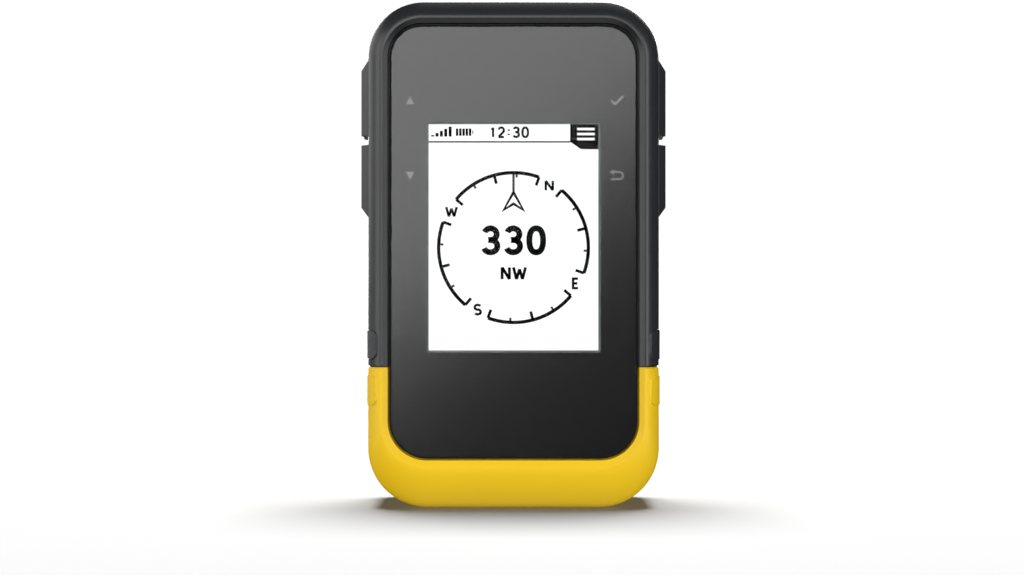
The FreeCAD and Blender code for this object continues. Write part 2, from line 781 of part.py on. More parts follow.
def side_switch(side, z, travel):
    """A side-push switch on the back of the board, just short of its key's flange."""
    tip = FLANGE_IN_X - travel - SWITCH_GAP
    xs = sorted((side * (BOARD_HALF_W - SWITCH_BODY), side * BOARD_HALF_W))
    case = box(
        xs[0],
        xs[1],
        BOARD_BACK_Y,
        BOARD_BACK_Y + SWITCH_BODY,
        z - SWITCH_H / 2,
        z + SWITCH_H / 2,
    )
    stem_y = BOARD_BACK_Y + SWITCH_BODY / 2
    stem = Part.makeCylinder(
        SWITCH_STEM / 2,
        tip - BOARD_HALF_W,
        FreeCAD.Vector(side * BOARD_HALF_W, stem_y, z),
        FreeCAD.Vector(side, 0, 0),
    )
    return one_solid(case.fuse(stem))


def key_switches():
    switches = []
    for side in (-1, 1):
        for z0, z1 in KEY_SPANS.values():
            switches.append(side_switch(side, (z0 + z1) / 2, KEY_TRAVEL))
    switches.append(side_switch(-1, POWER_Z, POWER_TRAVEL))
    return Part.makeCompound(switches)


def small_screw(x, z, seat_y, toward):
    """A pan-head screw whose head sits on seat_y and whose shank runs toward +Y or -Y."""
    def span(near, far):
        return sorted((seat_y + toward * near, seat_y + toward * far))

    head = rod_y(x, z, SMALL_HEAD_R, *span(-SMALL_HEAD_H, 0))
    shank = rod_y(x, z, SMALL_SCREW_R, *span(0, SMALL_SCREW_L))
    drive = rod_y(x, z, SMALL_SCREW_R, *span(-SMALL_HEAD_H, -SMALL_HEAD_H / 2))
    return one_solid(head.fuse(shank).cut(drive))


def board_screws():
    return Part.makeCompound([
        small_screw(side * BOARD_SCREW_X, z, BOARD_BACK_Y, -1)
        for side in (-1, 1)
        for z in BOARD_SCREW_Z
    ])


# ---- Data socket and weather cap ----
def usb_socket():
    """A steel shell with a contact tongue, its mouth to the back."""
    half_w = SOCKET_W / 2
    half_h = SOCKET_H / 2
    y0 = USB_BOARD_Y + USB_BOARD_T
    shell = plate(y0, SOCKET_Y, half_w, SOCKET_Z - half_h, SOCKET_Z + half_h, half_h - 0.1, half_h - 0.1)
    mouth = plate(
        y0 + SOCKET_WALL * 2,
        SOCKET_Y,
        half_w - SOCKET_WALL,
        SOCKET_Z - half_h + SOCKET_WALL,
        SOCKET_Z + half_h - SOCKET_WALL,
        half_h - SOCKET_WALL - 0.1,
        half_h - SOCKET_WALL - 0.1,
    )
    tongue_half = half_w - 3 * SOCKET_WALL - SOCKET_TONGUE / 2
    tongue = box(
        -tongue_half,
        tongue_half,
        y0,
        SOCKET_Y - SOCKET_TONGUE,
        SOCKET_Z - SOCKET_TONGUE / 2,
        SOCKET_Z + SOCKET_TONGUE / 2,
    )
    return one_solid(shell.cut(mouth).fuse(tongue))


def usb_board():
    half_w = USB_BOARD_W / 2
    half_h = USB_BOARD_H / 2
    board = box(
        -half_w,
        half_w,
        USB_BOARD_Y,
        USB_BOARD_Y + USB_BOARD_T,
        SOCKET_Z - half_h,
        SOCKET_Z + half_h,
    )
    holes = [
        rod_y(side * USB_POST_X, SOCKET_Z, SMALL_SCREW_R + RUN, USB_BOARD_Y - 1, BACK_Y)
        for side in (-1, 1)
    ]
    return one_solid(board.cut(holes))


def usb_screws():
    return Part.makeCompound([
        small_screw(side * USB_POST_X, SOCKET_Z, USB_BOARD_Y, 1)
        for side in (-1, 1)
    ])


def usb_flex():
    return folded_strip(FLEX_W, 0, USB_BOARD_Y, BOARD_BACK_Y, SOCKET_Z + 1, BODY_H - FLEX_TOP)


def port_hole():
    half_h = PORT_H / 2
    return plate(DOOR_Y - 1, BACK_Y + 1, PORT_W / 2, SOCKET_Z - half_h, SOCKET_Z + half_h, PORT_R, PORT_R)


def cap_plate(grow, extra):
    """The cap's lid, or the recess for it."""
    return plate(
        CAP_Y,
        CAP_Y + CAP_T + extra,
        CAP_W / 2 + grow,
        CAP_Z0 - grow,
        SOCKET_Z + CAP_UP + grow,
        CAP_R + grow,
        CAP_R + grow,
    )


def weather_cap():
    """A rubber lid with a hollow plug that fits round the socket."""
    lid = cap_plate(0, 0)
    edges = [e for e in lid.Edges if all(abs(v.Point.y - CAP_Y - CAP_T) < 1e-6 for v in e.Vertexes)]
    lid = lid.makeFillet(CAP_T / 3, edges)
    plug = ring_plate(
        CAP_Y - PLUG_L,
        CAP_Y,
        (PLUG_W / 2, SOCKET_Z - PLUG_LOW, SOCKET_Z + PLUG_UP, PLUG_R, PLUG_R),
        (
            PLUG_W / 2 - PLUG_WALL,
            SOCKET_Z - PLUG_LOW + PLUG_WALL,
            SOCKET_Z + PLUG_UP - PLUG_WALL,
            PLUG_R / 2,
            PLUG_R / 2,
        ),
    )
    return one_solid(lid.fuse(plug))


def cap_anchor(grow):
    """The rubber foot of the cap's strap, bonded into the housing below the cap."""
    half = ANCHOR_W / 2 + grow
    top = CAP_Z0 - FIT - HOVER / 2
    return box(-half, half, CAP_Y, CAP_Y + ANCHOR_T, top - ANCHOR_H - grow, top + grow)


# ---- Battery tray, contacts and cells ----
def bay_space(z0, z1):
    """The room for two cells side by side, open to the back."""
    rooms = []
    for side in (-1, 1):
        rooms.append(rod_z(side * CELL_X, CELL_AXIS_Y, BAY_R, z0, z1))
    rooms.append(box(-BAY_HALF_W, BAY_HALF_W, CELL_AXIS_Y, DOOR_Y + 1, z0, z1))
    return rooms


def battery_tray():
    """The open tub for the cells, with a broad flange that the door seals on."""
    tub = box(
        -TRAY_HALF_W,
        TRAY_HALF_W,
        TRAY_FLOOR_Y,
        DOOR_Y,
        BAY_Z0 - TRAY_WALL,
        BAY_Z1 + TRAY_WALL,
    )
    flange = plate(
        DOOR_Y - TRAY_WALL,
        DOOR_Y,
        BAY_HALF_W + TRAY_FLANGE,
        DOOR_LOW_Z - TRAY_WALL,
        BAY_Z1 + TRAY_FLANGE_TOP,
        FLANGE_R,
        FLANGE_R,
    )
    window = box(-WINDOW_HALF, WINDOW_HALF, DOOR_Y - 2 * TRAY_WALL, DOOR_Y + 1, KEEPER_Z, WINDOW_TOP)
    tools = bay_space(BAY_Z0, BAY_Z1) + [window, door_seal()]
    tools += [rod_y(x, z, COLUMN_R + FIT, PART_Y, BACK_Y) for x, z in SCREW_PLACES]
    for side in (-1, 1):
        for end_z in (BAY_Z0, BAY_Z1):
            tools.append(contact_tab(side, end_z, 0.02))
    return one_solid(tub.fuse(flange).cut(tools))


def door_seal():
    return ring_plate(DOOR_Y - SEAL_DEPTH, DOOR_Y, seal_outline(SEAL_W / 2), seal_outline(-SEAL_W / 2))


def end_span(end_z, depth):
    """A span of the given depth that starts at one end of the bay and goes into it."""
    return sorted((end_z, end_z + math.copysign(depth, BAY_Z0 + BAY_L / 2 - end_z)))


def contact_tab(side, end_z, grow):
    """The leg of a battery contact, through the tray's floor and the main board."""
    z0, z1 = end_span(end_z, CONTACT_T)
    half = TAB_W / 2 + grow
    x = side * CELL_X
    return box(x - half, x + half, BOARD_Y - grow, CELL_AXIS_Y, z0 - grow, z1 + grow)


def battery_contacts():
    plates = []
    for side in (-1, 1):
        for end_z in (BAY_Z0, BAY_Z1):
            z0, z1 = end_span(end_z, CONTACT_T)
            x = side * CELL_X
            half = CONTACT_W / 2
            face = box(x - half, x + half, CELL_AXIS_Y - half, CELL_AXIS_Y + half, z0, z1)
            plates.append(one_solid(face.fuse(contact_tab(side, end_z, 0))))
    return Part.makeCompound(plates)


def cell_parts():
    """(side, base z, direction) for each cell. The direction points to the cell's raised end."""
    return [
        (-1, BAY_Z0 + CONTACT_T + SPRING_L, 1),
        (1, BAY_Z1 - CONTACT_T - SPRING_L, -1),
    ]


def cell_rod(side, base, way, radius, near, far):
    z0, z1 = sorted((base + way * near, base + way * far))
    return rod_z(side * CELL_X, CELL_AXIS_Y, radius, z0, z1)


def battery_springs():
    """A cone of spring wire under the flat end of each cell, here as a thin cone with the same outline."""
    springs = []
    for side, base, way in cell_parts():
        foot = FreeCAD.Vector(side * CELL_X, CELL_AXIS_Y, base - way * SPRING_L)
        up = FreeCAD.Vector(0, 0, way)
        outer = Part.makeCone(SPRING_R, SPRING_TIP_R, SPRING_L, foot, up)
        inner = Part.makeCone(SPRING_R - SPRING_WIRE, SPRING_TIP_R - SPRING_WIRE, SPRING_L, foot, up)
        springs.append(outer.cut(inner))
    return Part.makeCompound(springs)


def battery_cans():
    """Steel cans, each with its raised contact."""
    cans = []
    shoulder = CELL_L - NUB_H
    radius = CELL_R - JACKET_T
    for side, base, way in cell_parts():
        can = cell_rod(side, base, way, radius, 0, shoulder)
        can = can.cut(cell_rod(side, base, way, radius - CAN_T, CAN_T, shoulder - CAN_T))
        can = can.fuse(cell_rod(side, base, way, NUB_R, shoulder, CELL_L))
        cans.append(can)
    return Part.makeCompound(cans)


def battery_fills():
    fills = []
    radius = CELL_R - JACKET_T - CAN_T
    for side, base, way in cell_parts():
        fills.append(cell_rod(side, base, way, radius, CAN_T, CELL_L - NUB_H - CAN_T))
    return Part.makeCompound(fills)


def battery_jackets():
    jackets = []
    for side, base, way in cell_parts():
        sleeve = cell_rod(side, base, way, CELL_R, 0, CELL_L - NUB_H)
        sleeve = sleeve.cut(cell_rod(side, base, way, CELL_R - JACKET_T, 0, CELL_L - NUB_H))
        jackets.append(sleeve)
    return Part.makeCompound(jackets)


# ---- Battery door, latch and ring ----
def mounting_spine():
    """A T-shaped rail that accessories slide onto from above."""
    z1 = SPINE_LOW_Z + SPINE_L
    neck = box(-SPINE_NECK_W / 2, SPINE_NECK_W / 2, BACK_Y, DEPTH / 2, SPINE_LOW_Z, z1)
    head = box(-SPINE_W / 2, SPINE_W / 2, DEPTH / 2 - SPINE_HEAD, DEPTH / 2, SPINE_LOW_Z, z1)
    corners = [
        e for e in head.Edges
        if abs(e.Vertexes[0].Point.y - e.Vertexes[1].Point.y) > SPINE_HEAD / 2
    ]
    head = head.makeFillet(SPINE_R, corners)
    half = SPINE_DETENT_W / 2
    detent_z = z1 - SPINE_DETENT_DOWN
    detent = box(-half, half, DEPTH / 2 - SPINE_DETENT, DEPTH / 2 + 1, detent_z, detent_z + half)
    return neck.fuse(head).cut(detent)


def battery_door():
    door = plate(DOOR_Y, BACK_Y, *door_outline(0))
    edges = [e for e in door.Edges if all(abs(v.Point.y - BACK_Y) < 1e-6 for v in e.Vertexes)]
    door = door.makeFillet(DOOR_EDGE, edges)
    door = door.fuse(mounting_spine())
    door = door.cut([
        rod_y(0, LATCH_Z, HUB_R + FIT, HUB_Y, BACK_Y + 1),
        rod_y(0, LATCH_Z, SHAFT_R + RUN, DOOR_Y - 1, BACK_Y + 1),
    ])
    return one_solid(door)


def door_latch():
    """A quarter-turn latch: a hub with the ring's lug outside, and a tongue inside."""
    hub = rod_y(0, LATCH_Z, HUB_R, HUB_Y + TONGUE_GAP, HUB_Y + HUB_T)
    tongue_back_y = DOOR_Y - TRAY_WALL - TONGUE_GAP
    shaft = rod_y(0, LATCH_Z, SHAFT_R, tongue_back_y - TONGUE_T, HUB_Y + HUB_T)
    tongue = box(
        -TONGUE_HALF,
        TONGUE_HALF,
        tongue_back_y - TONGUE_T,
        tongue_back_y,
        LATCH_Z - TONGUE_W / 2,
        LATCH_Z + TONGUE_W / 2,
    )
    start = FreeCAD.Vector(-LUG_HALF, RING_Y, BAR_Z)
    lug = Part.makeCylinder(LUG_R, 2 * LUG_HALF, start, FreeCAD.Vector(1, 0, 0))
    foot = box(-LUG_HALF, LUG_HALF, HUB_Y + HUB_T / 2, RING_Y, BAR_Z - LUG_R, BAR_Z + LUG_R)
    rim = rod_y(0, LATCH_Z, HUB_R, HUB_Y, DEPTH / 2)
    latch = hub.fuse([shaft, tongue, lug.fuse(foot).common(rim)])
    bore_start = FreeCAD.Vector(-HUB_R, RING_Y, BAR_Z)
    bore = Part.makeCylinder(RING_WIRE_R + RUN, 2 * HUB_R, bore_start, FreeCAD.Vector(1, 0, 0))
    return one_solid(latch.cut(bore))


def d_ring():
    """A ring of round wire: a straight bar through the latch's lug, two legs and a half circle."""
    w = RING_HALF_W
    r = RING_CORNER
    low = BAR_Z - r - RING_LEG

    def point(x, z):
        return FreeCAD.Vector(x, RING_Y, z)

    def corner(side):
        cx = side * (w - r)
        cz = BAR_Z - r
        slant = r * math.sqrt(0.5)
        return Part.Arc(point(cx, BAR_Z), point(cx + side * slant, cz + slant), point(side * w, cz))

    path = Part.Wire([
        Part.LineSegment(point(0, BAR_Z), point(w - r, BAR_Z)).toShape(),
        corner(1).toShape(),
        Part.LineSegment(point(w, BAR_Z - r), point(w, low)).toShape(),
        Part.Arc(point(w, low), point(0, low - w), point(-w, low)).toShape(),
        Part.LineSegment(point(-w, low), point(-w, BAR_Z - r)).toShape(),
        Part.Arc(
            point(-w, BAR_Z - r),
            point(-w + r - r * math.sqrt(0.5), BAR_Z - r + r * math.sqrt(0.5)),
            point(-w + r, BAR_Z),
        ).toShape(),
        Part.LineSegment(point(-w + r, BAR_Z), point(0, BAR_Z)).toShape(),
    ])
    circle = Part.Circle(point(0, BAR_Z), FreeCAD.Vector(1, 0, 0), RING_WIRE_R).toShape()
    return path.makePipeShell([Part.Wire([circle])], True, False)


# ---- Fasteners of the case ----
def case_screws():
    screws = []
    seat_y = BACK_Y - SCREW_SINK
    for x, z in SCREW_PLACES:
        head = rod_y(x, z, SCREW_HEAD_R, seat_y, seat_y + SCREW_HEAD_H)
        shank = rod_y(x, z, SCREW_R, seat_y - SCREW_L, seat_y)
        top = seat_y + SCREW_HEAD_H
        drive = rod_y(x, z, DRIVE_R, top - DRIVE_DEPTH, top)
        screws.append(one_solid(head.fuse(shank).cut(drive)))
    return Part.makeCompound(screws)


def case_inserts():
    inserts = []
    for x, z in SCREW_PLACES:
        sleeve = rod_y(x, z, INSERT_R, PART_Y - INSERT_L, PART_Y)
        inserts.append(sleeve.cut(rod_y(x, z, SCREW_R, PART_Y - INSERT_L, PART_Y)))
    return Part.makeCompound(inserts)


def build():
    outer = envelope(0)
    inner = envelope(WALL)
    skin = envelope(-PILL_PROUD)
    front = whole_front(outer, inner, skin)
    back = whole_back(outer, inner)
    groove = seam_groove(outer)
    front_tabs = join_tabs(PILL_Y1 + 2, PART_Y - 2)
    back_tabs = join_tabs(PART_Y + 1, BACK_SIDE_Y - 0.5)
    left = -1
    right = 1
    return {
        "front_housing": one_solid(upper(front).cut(groove)),
        "lower_front_cover": one_solid(lower(front).cut(groove).fuse(front_tabs)),
        "rear_housing": one_solid(upper(back).cut(groove)),
        "lower_rear_cover": one_solid(lower(back).cut(groove).fuse(back_tabs)),
        "housing_seal": housing_seal(),
        "display_lens": display_lens(),
        "lens_mask": lens_mask(),
        "lens_adhesive": lens_adhesive(),
        "lcd_cell": cell_box(CELL_Y, CELL_BACK_Y, 0),
        "lcd_backlight": cell_box(CELL_BACK_Y, LIGHT_BACK_Y, 0),
        "lcd_frame": lcd_frame(),
        "lcd_flex": lcd_flex(),
        "main_board": main_board(),
        "board_chips": board_chips(),
        "shield_cans": shield_cans(),
        "gnss_antenna": gnss_antenna(),
        "key_switches": key_switches(),
        "up_key": side_key(left, KEY_SPANS["high"]),
        "down_key": side_key(left, KEY_SPANS["low"]),
        "select_key": side_key(right, KEY_SPANS["high"]),
        "back_key": side_key(right, KEY_SPANS["low"]),
        "power_key": power_key(skin),
        "usb_socket": usb_socket(),
        "usb_board": usb_board(),
        "usb_flex": usb_flex(),
        "usb_screws": usb_screws(),
        "weather_cap": weather_cap(),
        "cap_anchor": cap_anchor(0),
        "battery_tray": battery_tray(),
        "battery_contacts": battery_contacts(),
        "battery_springs": battery_springs(),
        "battery_cans": battery_cans(),
        "battery_fills": battery_fills(),
        "battery_jackets": battery_jackets(),
        "battery_door": battery_door(),
        "door_seal": door_seal(),
        "door_latch": door_latch(),
        "d_ring": d_ring(),
        "case_screws": case_screws(),
        "case_inserts": case_inserts(),
        "board_screws": board_screws(),
        "lanyard_pin": lanyard_pin(),
    }


os.makedirs("parts", exist_ok=True)
for name, shape in build().items():
    solids = shape.Solids
    print("%-18s solids %d  volume %10.2f  valid %s" % (name, len(solids), shape.Volume, shape.isValid()))
    shape.exportStep("parts/%s.step" % name)
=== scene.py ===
# %% [markdown]
# # A handheld GPS unit, dressed with numpy surfaces and procedural finishes
# The moulded case, the keys, the cells and every other solid part come ready made
# as a fixed frame. This lesson gives each of them the finish of its real material,
# and adds the thin and fine things that solids leave out: the picture on the
# display, the print on the glass, the coil springs and the small moulded marks.
# Everything is in metres. X points right, Y points away to the rear, Z points up.

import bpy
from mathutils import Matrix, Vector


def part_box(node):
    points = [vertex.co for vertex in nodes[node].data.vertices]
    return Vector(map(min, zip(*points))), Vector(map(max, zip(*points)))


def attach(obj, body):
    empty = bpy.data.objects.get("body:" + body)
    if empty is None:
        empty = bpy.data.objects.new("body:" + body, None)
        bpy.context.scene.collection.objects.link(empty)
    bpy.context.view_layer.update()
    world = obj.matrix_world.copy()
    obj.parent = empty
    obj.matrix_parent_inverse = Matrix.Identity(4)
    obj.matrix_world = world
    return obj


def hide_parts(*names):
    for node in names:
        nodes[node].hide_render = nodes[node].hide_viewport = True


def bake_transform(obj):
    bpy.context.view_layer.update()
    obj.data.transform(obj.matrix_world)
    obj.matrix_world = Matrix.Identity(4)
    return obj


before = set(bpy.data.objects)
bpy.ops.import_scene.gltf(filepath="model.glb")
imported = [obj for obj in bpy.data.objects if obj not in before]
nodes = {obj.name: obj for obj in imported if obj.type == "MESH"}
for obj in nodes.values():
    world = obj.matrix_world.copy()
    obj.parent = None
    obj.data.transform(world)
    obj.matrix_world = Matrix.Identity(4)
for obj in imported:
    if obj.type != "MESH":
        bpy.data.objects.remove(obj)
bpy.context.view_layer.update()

import math

import bpy
import numpy as np
from mathutils import Matrix, Vector

# %% [markdown]
# ## Units and colours
# Sizes are easier to check in millimetres, so one constant turns them to metres.
# Colours are picked in sRGB, as on a screen, while Cycles adds up light in linear
# values. One function does that turn for every colour in the file.

# %% Units and colours
MM = 0.001


def linear(hex_colour):
    """sRGB to linear: c/12.92 below 0.04045, otherwise ((c+0.055)/1.055) to the power 2.4."""
    c = np.array([int(hex_colour[i:i + 2], 16) for i in (1, 3, 5)]) / 255
    c = np.where(c <= 0.04045, c / 12.92, ((c + 0.055) / 1.055) ** 2.4)
    return (*c.tolist(), 1.0)


print("mid grey in linear light:", linear("#808080")[0])

# %% [markdown]
# ## One function that adds a node
# A node tree is a list of nodes and links. Written out in full it is long, so one
# small function makes a node, sets its settings, and fills each input with either
# a value or a link from another node.

# %% Node helper
def node(tree, kind, inputs=None, **settings):
    """Adds a node of that kind, with its settings, and fills or links its inputs by name or number."""
    made = tree.nodes.new(kind)
    for name, value in settings.items():
        setattr(made, name, value)
    for key, value in (inputs or {}).items():
        if isinstance(value, bpy.types.NodeSocket):
            tree.links.new(value, made.inputs[key])
        else:
            made.inputs[key].default_value = value
    return made


# %% [markdown]
# ## What every surface here has in common
# A real surface is never one flat colour. Moulded plastic drifts a little in tone
# where the melt flowed, its gloss drifts too, and a fine grain from the tool breaks
# up its highlights. Three noise patterns give these, each at its own real size.
# A Bevel node rounds the shading of every sharp edge by a fraction of a millimetre,
# because no moulded or pressed edge is truly sharp, and light catches on it.

# %% A base finish
def finish(name, light, dark, rough, grain, depth, drift=9.0, spread=0.06, edge=0.12, **sockets):
    """A Principled material: colour runs between two hex tones over drift mm, roughness varies by spread,
    and noise bumps of grain mm stand depth mm high. Other sockets are set straight on the shader."""
    made = bpy.data.materials.new(name)
    made.use_nodes = True
    tree = made.node_tree
    shader = tree.nodes["Principled BSDF"]
    place = node(tree, "ShaderNodeTexCoord").outputs["Object"]
    slow = node(tree, "ShaderNodeTexNoise", {"Vector": place, "Scale": 1 / (drift * MM), "Detail": 3.0})
    fine = node(tree, "ShaderNodeTexNoise", {"Vector": place, "Scale": 1 / (grain * MM), "Detail": 2.0,
                                             "Roughness": 0.6})
    tone = node(tree, "ShaderNodeMix", {0: slow.outputs["Fac"], 6: linear(dark), 7: linear(light)}, data_type="RGBA")
    gloss = node(tree, "ShaderNodeMapRange", {0: slow.outputs["Fac"], 3: rough - spread, 4: rough + spread})
    rounded = node(tree, "ShaderNodeBevel", {"Radius": edge * MM}, samples=4)
    bump = node(tree, "ShaderNodeBump", {"Strength": 1.0, "Distance": depth * MM, "Height": fine.outputs["Fac"],
                                         "Normal": rounded.outputs["Normal"]})
    for key, value in (("Base Color", tone.outputs[2]), ("Roughness", gloss.outputs[0]),
                       ("Normal", bump.outputs["Normal"])):
        tree.links.new(value, shader.inputs[key])
    for key, value in sockets.items():
        shader.inputs[key.replace("_", " ")].default_value = value
    return made


def dress(material, *names):
    """Puts one material on every face of the named frame nodes."""
    for name in names:
        mesh = nodes[name].data
        mesh.materials.clear()
        mesh.materials.append(material)
        mesh.polygons.foreach_set("material_index", np.zeros(len(mesh.polygons), np.int32))
    print(material.name, "on", ", ".join(names))


# %% [markdown]
# ## Charcoal housing
# The case is a blend of polycarbonate and ABS, injection moulded in a tool whose
# walls were spark eroded. That leaves a fine even grain, so the dark plastic reads
# as satin, with wide soft highlights and no mirror. The real grain is about 0.1 mm
# across, too fine to show, so it is drawn at 0.35 mm.

# %% Charcoal housing
charcoal = finish("charcoal_pc_abs", "#262729", "#212224", 0.38, 0.35, 0.012, IOR=1.5)
dress(charcoal, "front_housing", "rear_housing", "battery_door")

# %% [markdown]
# ## Yellow lower covers
# The foot of the case is clipped on in a second colour, the same plastic with an
# opaque warm yellow pigment. The pigment hides what is under it, so the colour is
# all in the skin, and the gloss is lower than on the dark case.

# %% Yellow covers
yellow = finish("yellow_pc_abs", "#e8be13", "#e4ba10", 0.50, 0.35, 0.008, IOR=1.5,
                Specular_IOR_Level=0.32)
dress(yellow, "lower_front_cover", "lower_rear_cover")

# %% [markdown]
# ## Soft keys and seals
# The side keys are moulded in a thermoplastic rubber, and the seal cords and the
# socket cap in silicone. Rubber is matt because its skin scatters light widely, and
# a faint sheen at grazing angles comes from fine dust and bloom on it.

# %% Rubber
rubber = finish("key_elastomer", "#2b2c2f", "#232427", 0.60, 0.45, 0.014, IOR=1.52, Sheen_Weight=0.12,
                Sheen_Roughness=0.5)
dress(rubber, "up_key", "down_key", "select_key", "back_key", "power_key")
seal = finish("silicone_seal", "#33363a", "#2a2c30", 0.66, 0.6, 0.006, IOR=1.41, Sheen_Weight=0.1)
dress(seal, "housing_seal", "door_seal")
cap_rubber = finish("cap_silicone", "#2c2d30", "#242528", 0.62, 0.4, 0.012, IOR=1.41, Sheen_Weight=0.15)
dress(cap_rubber, "weather_cap", "cap_anchor")

# %% [markdown]
# ## Screen print and tape
# Behind the lens lies a black print with a window in it, and a foam tape that
# holds the lens down. Both only have to swallow light, so they are nearly black
# and quite matt.

# %% Screen print and tape
mask = finish("black_screen_print", "#040405", "#030303", 0.5, 0.2, 0.0, IOR=1.5, Specular_IOR_Level=0.1)
dress(mask, "lens_mask")
foam = finish("acrylic_foam_tape", "#1c1c1e", "#161617", 0.8, 0.25, 0.02, IOR=1.47)
dress(foam, "lens_adhesive")

# %% [markdown]
# ## Display stack
# The cell is two sheets of glass with a reflective film. Behind it a clear acrylic
# light guide spreads the light of a few diodes, and a pressed steel pan holds both.
# The guide's rear face carries a lattice of small white dots that throw light
# forward; here they are a grid 0.9 mm apart, the spacing of such dots.

# %% Display stack
glass = finish("display_glass", "#5d6661", "#4e5752", 0.12, 1.0, 0.001, spread=0.03, edge=0.05, IOR=1.52)
dress(glass, "lcd_cell")
guide = finish("light_guide_acrylic", "#f4f6f7", "#e6eaec", 0.25, 0.6, 0.002, IOR=1.49, Subsurface_Weight=0.3,
               Subsurface_Scale=2 * MM)
tree = guide.node_tree
place = node(tree, "ShaderNodeTexCoord").outputs["Object"]
dots = node(tree, "ShaderNodeTexVoronoi", {"Vector": place, "Scale": 1 / (0.9 * MM), "Randomness": 0.0})
speck = node(tree, "ShaderNodeMapRange", {0: dots.outputs["Distance"], 1: 0.2, 2: 0.26, 3: 1.0, 4: 0.0})
both = node(tree, "ShaderNodeMix", {0: speck.outputs[0], 6: linear("#dfe5e8"), 7: linear("#ffffff")}, data_type="RGBA")
tree.links.new(both.outputs[2], tree.nodes["Principled BSDF"].inputs["Base Color"])
dress(guide, "lcd_backlight")

# %% [markdown]
# ## Metals
# A metal's colour is the colour of its reflection, and its look comes from how it
# was worked. Rolled sheet carries fine lines along the rolling direction, turned
# and plated parts are smoother, and cast parts are grainy. The lines are noise
# stretched along one axis with a Mapping node.

# %% Metals
def metal(name, light, dark, rough, lines=(1, 1, 1), grain=0.25, depth=0.002, spread=0.05, edge=0.1, drift=6.0):
    """A metal finish whose grain is stretched by the three factors in lines, so a small factor gives a long line."""
    made = finish(name, light, dark, rough, grain, depth, drift=drift, spread=spread, edge=edge, Metallic=1.0)
    tree = made.node_tree
    fine = [n for n in tree.nodes if n.bl_idname == "ShaderNodeTexNoise"][1]
    source = fine.inputs["Vector"].links[0].from_socket
    drawn = node(tree, "ShaderNodeMapping", {"Vector": source, "Scale": lines})
    tree.links.new(drawn.outputs[0], fine.inputs["Vector"])
    return made


dress(metal("rolled_steel_pan", "#b4b5b4", "#a1a2a1", 0.34, (1, 1, 0.06)), "lcd_frame")
dress(metal("tinned_steel_cans", "#c3c4c2", "#b2b3b1", 0.28, (0.08, 1, 1)), "shield_cans")
dress(metal("stainless_socket", "#c9cacb", "#b9babb", 0.24, (0.2, 1, 1)), "usb_socket")
dress(metal("black_zinc_screws", "#3a3b3d", "#2e2f31", 0.36, grain=0.15), "case_screws")
dress(metal("nickel_screws", "#c5c3bd", "#b1afa9", 0.30, grain=0.15), "board_screws", "usb_screws", "lanyard_pin")
dress(metal("spring_steel_ring", "#a9abad", "#96989a", 0.30, (0.15, 1, 1), depth=0.003), "d_ring")
dress(metal("die_cast_zinc_latch", "#7c7e80", "#6c6e70", 0.40, grain=0.35, depth=0.008), "door_latch")
dress(metal("knurled_brass_insert", "#d3ae63", "#bf9a50", 0.32, (1, 1, 0.1), grain=0.4, depth=0.02), "case_inserts")
contact = metal("nickel_contact", "#cfcabf", "#bcb7ac", 0.26, (1, 1, 0.1))
dress(contact, "battery_contacts", "battery_springs")
dress(metal("nickel_plated_can", "#c9c8c4", "#b7b6b2", 0.24, (1, 1, 0.05)), "battery_cans")

# %% [markdown]
# ## Circuit boards
# A board is woven glass and epoxy under a green lacquer. The weave shows as a fine
# grid of bundles 0.5 mm apart, and copper tracks show as paler lines under the
# lacquer. The tracks follow the edges of a square cell pattern, which turns them
# only through right angles, as a router lays most of them.

# %% Circuit boards
board = finish("lacquered_glass_epoxy", "#1f5a3c", "#1a4f34", 0.34, 0.5, 0.004, IOR=1.55, Coat_Weight=0.4,
               Coat_Roughness=0.2)
tree = board.node_tree
shader = tree.nodes["Principled BSDF"]
place = node(tree, "ShaderNodeTexCoord").outputs["Object"]
cells = node(tree, "ShaderNodeTexVoronoi", {"Vector": place, "Scale": 1 / (3.2 * MM), "Randomness": 0.85},
             distance="CHEBYCHEV", feature="F1")
ring = node(tree, "ShaderNodeMath", {0: cells.outputs["Distance"], 1: 7.0}, operation="MULTIPLY")
wave = node(tree, "ShaderNodeMath", {0: ring.outputs[0], 1: 1.0}, operation="PINGPONG")
track = node(tree, "ShaderNodeMapRange", {0: wave.outputs[0], 1: 0.72, 2: 0.8, 3: 0.0, 4: 0.75})
copper = node(tree, "ShaderNodeMix", {0: track.outputs[0], 6: linear("#1c5538"), 7: linear("#3f8a55")},
              data_type="RGBA")
tree.links.new(copper.outputs[2], shader.inputs["Base Color"])
dress(board, "main_board", "usb_board")

chip = finish("moulded_chip_resin", "#1d1e20", "#17181a", 0.5, 0.12, 0.008, IOR=1.55)
dress(chip, "board_chips")
ceramic = finish("silvered_antenna_ceramic", "#d9d2c0", "#cdc5b1", 0.4, 0.3, 0.006, IOR=1.7)
dress(ceramic, "gnss_antenna")
flex = finish("amber_polyimide_film", "#b46a22", "#a25d1c", 0.3, 0.4, 0.002, IOR=1.6, Coat_Weight=0.3)
dress(flex, "lcd_flex", "usb_flex")
dress(metal("key_switch_steel", "#c8c8c6", "#b4b4b2", 0.3, grain=0.2), "key_switches")

# %% [markdown]
# ## Battery bay
# The tray is the same plastic as the case without its grain. The cells are steel
# cans in a printed sleeve. The sleeve's two colours follow the height of the cell,
# so the colour reads the Z of the Object coordinates and steps at a real height.

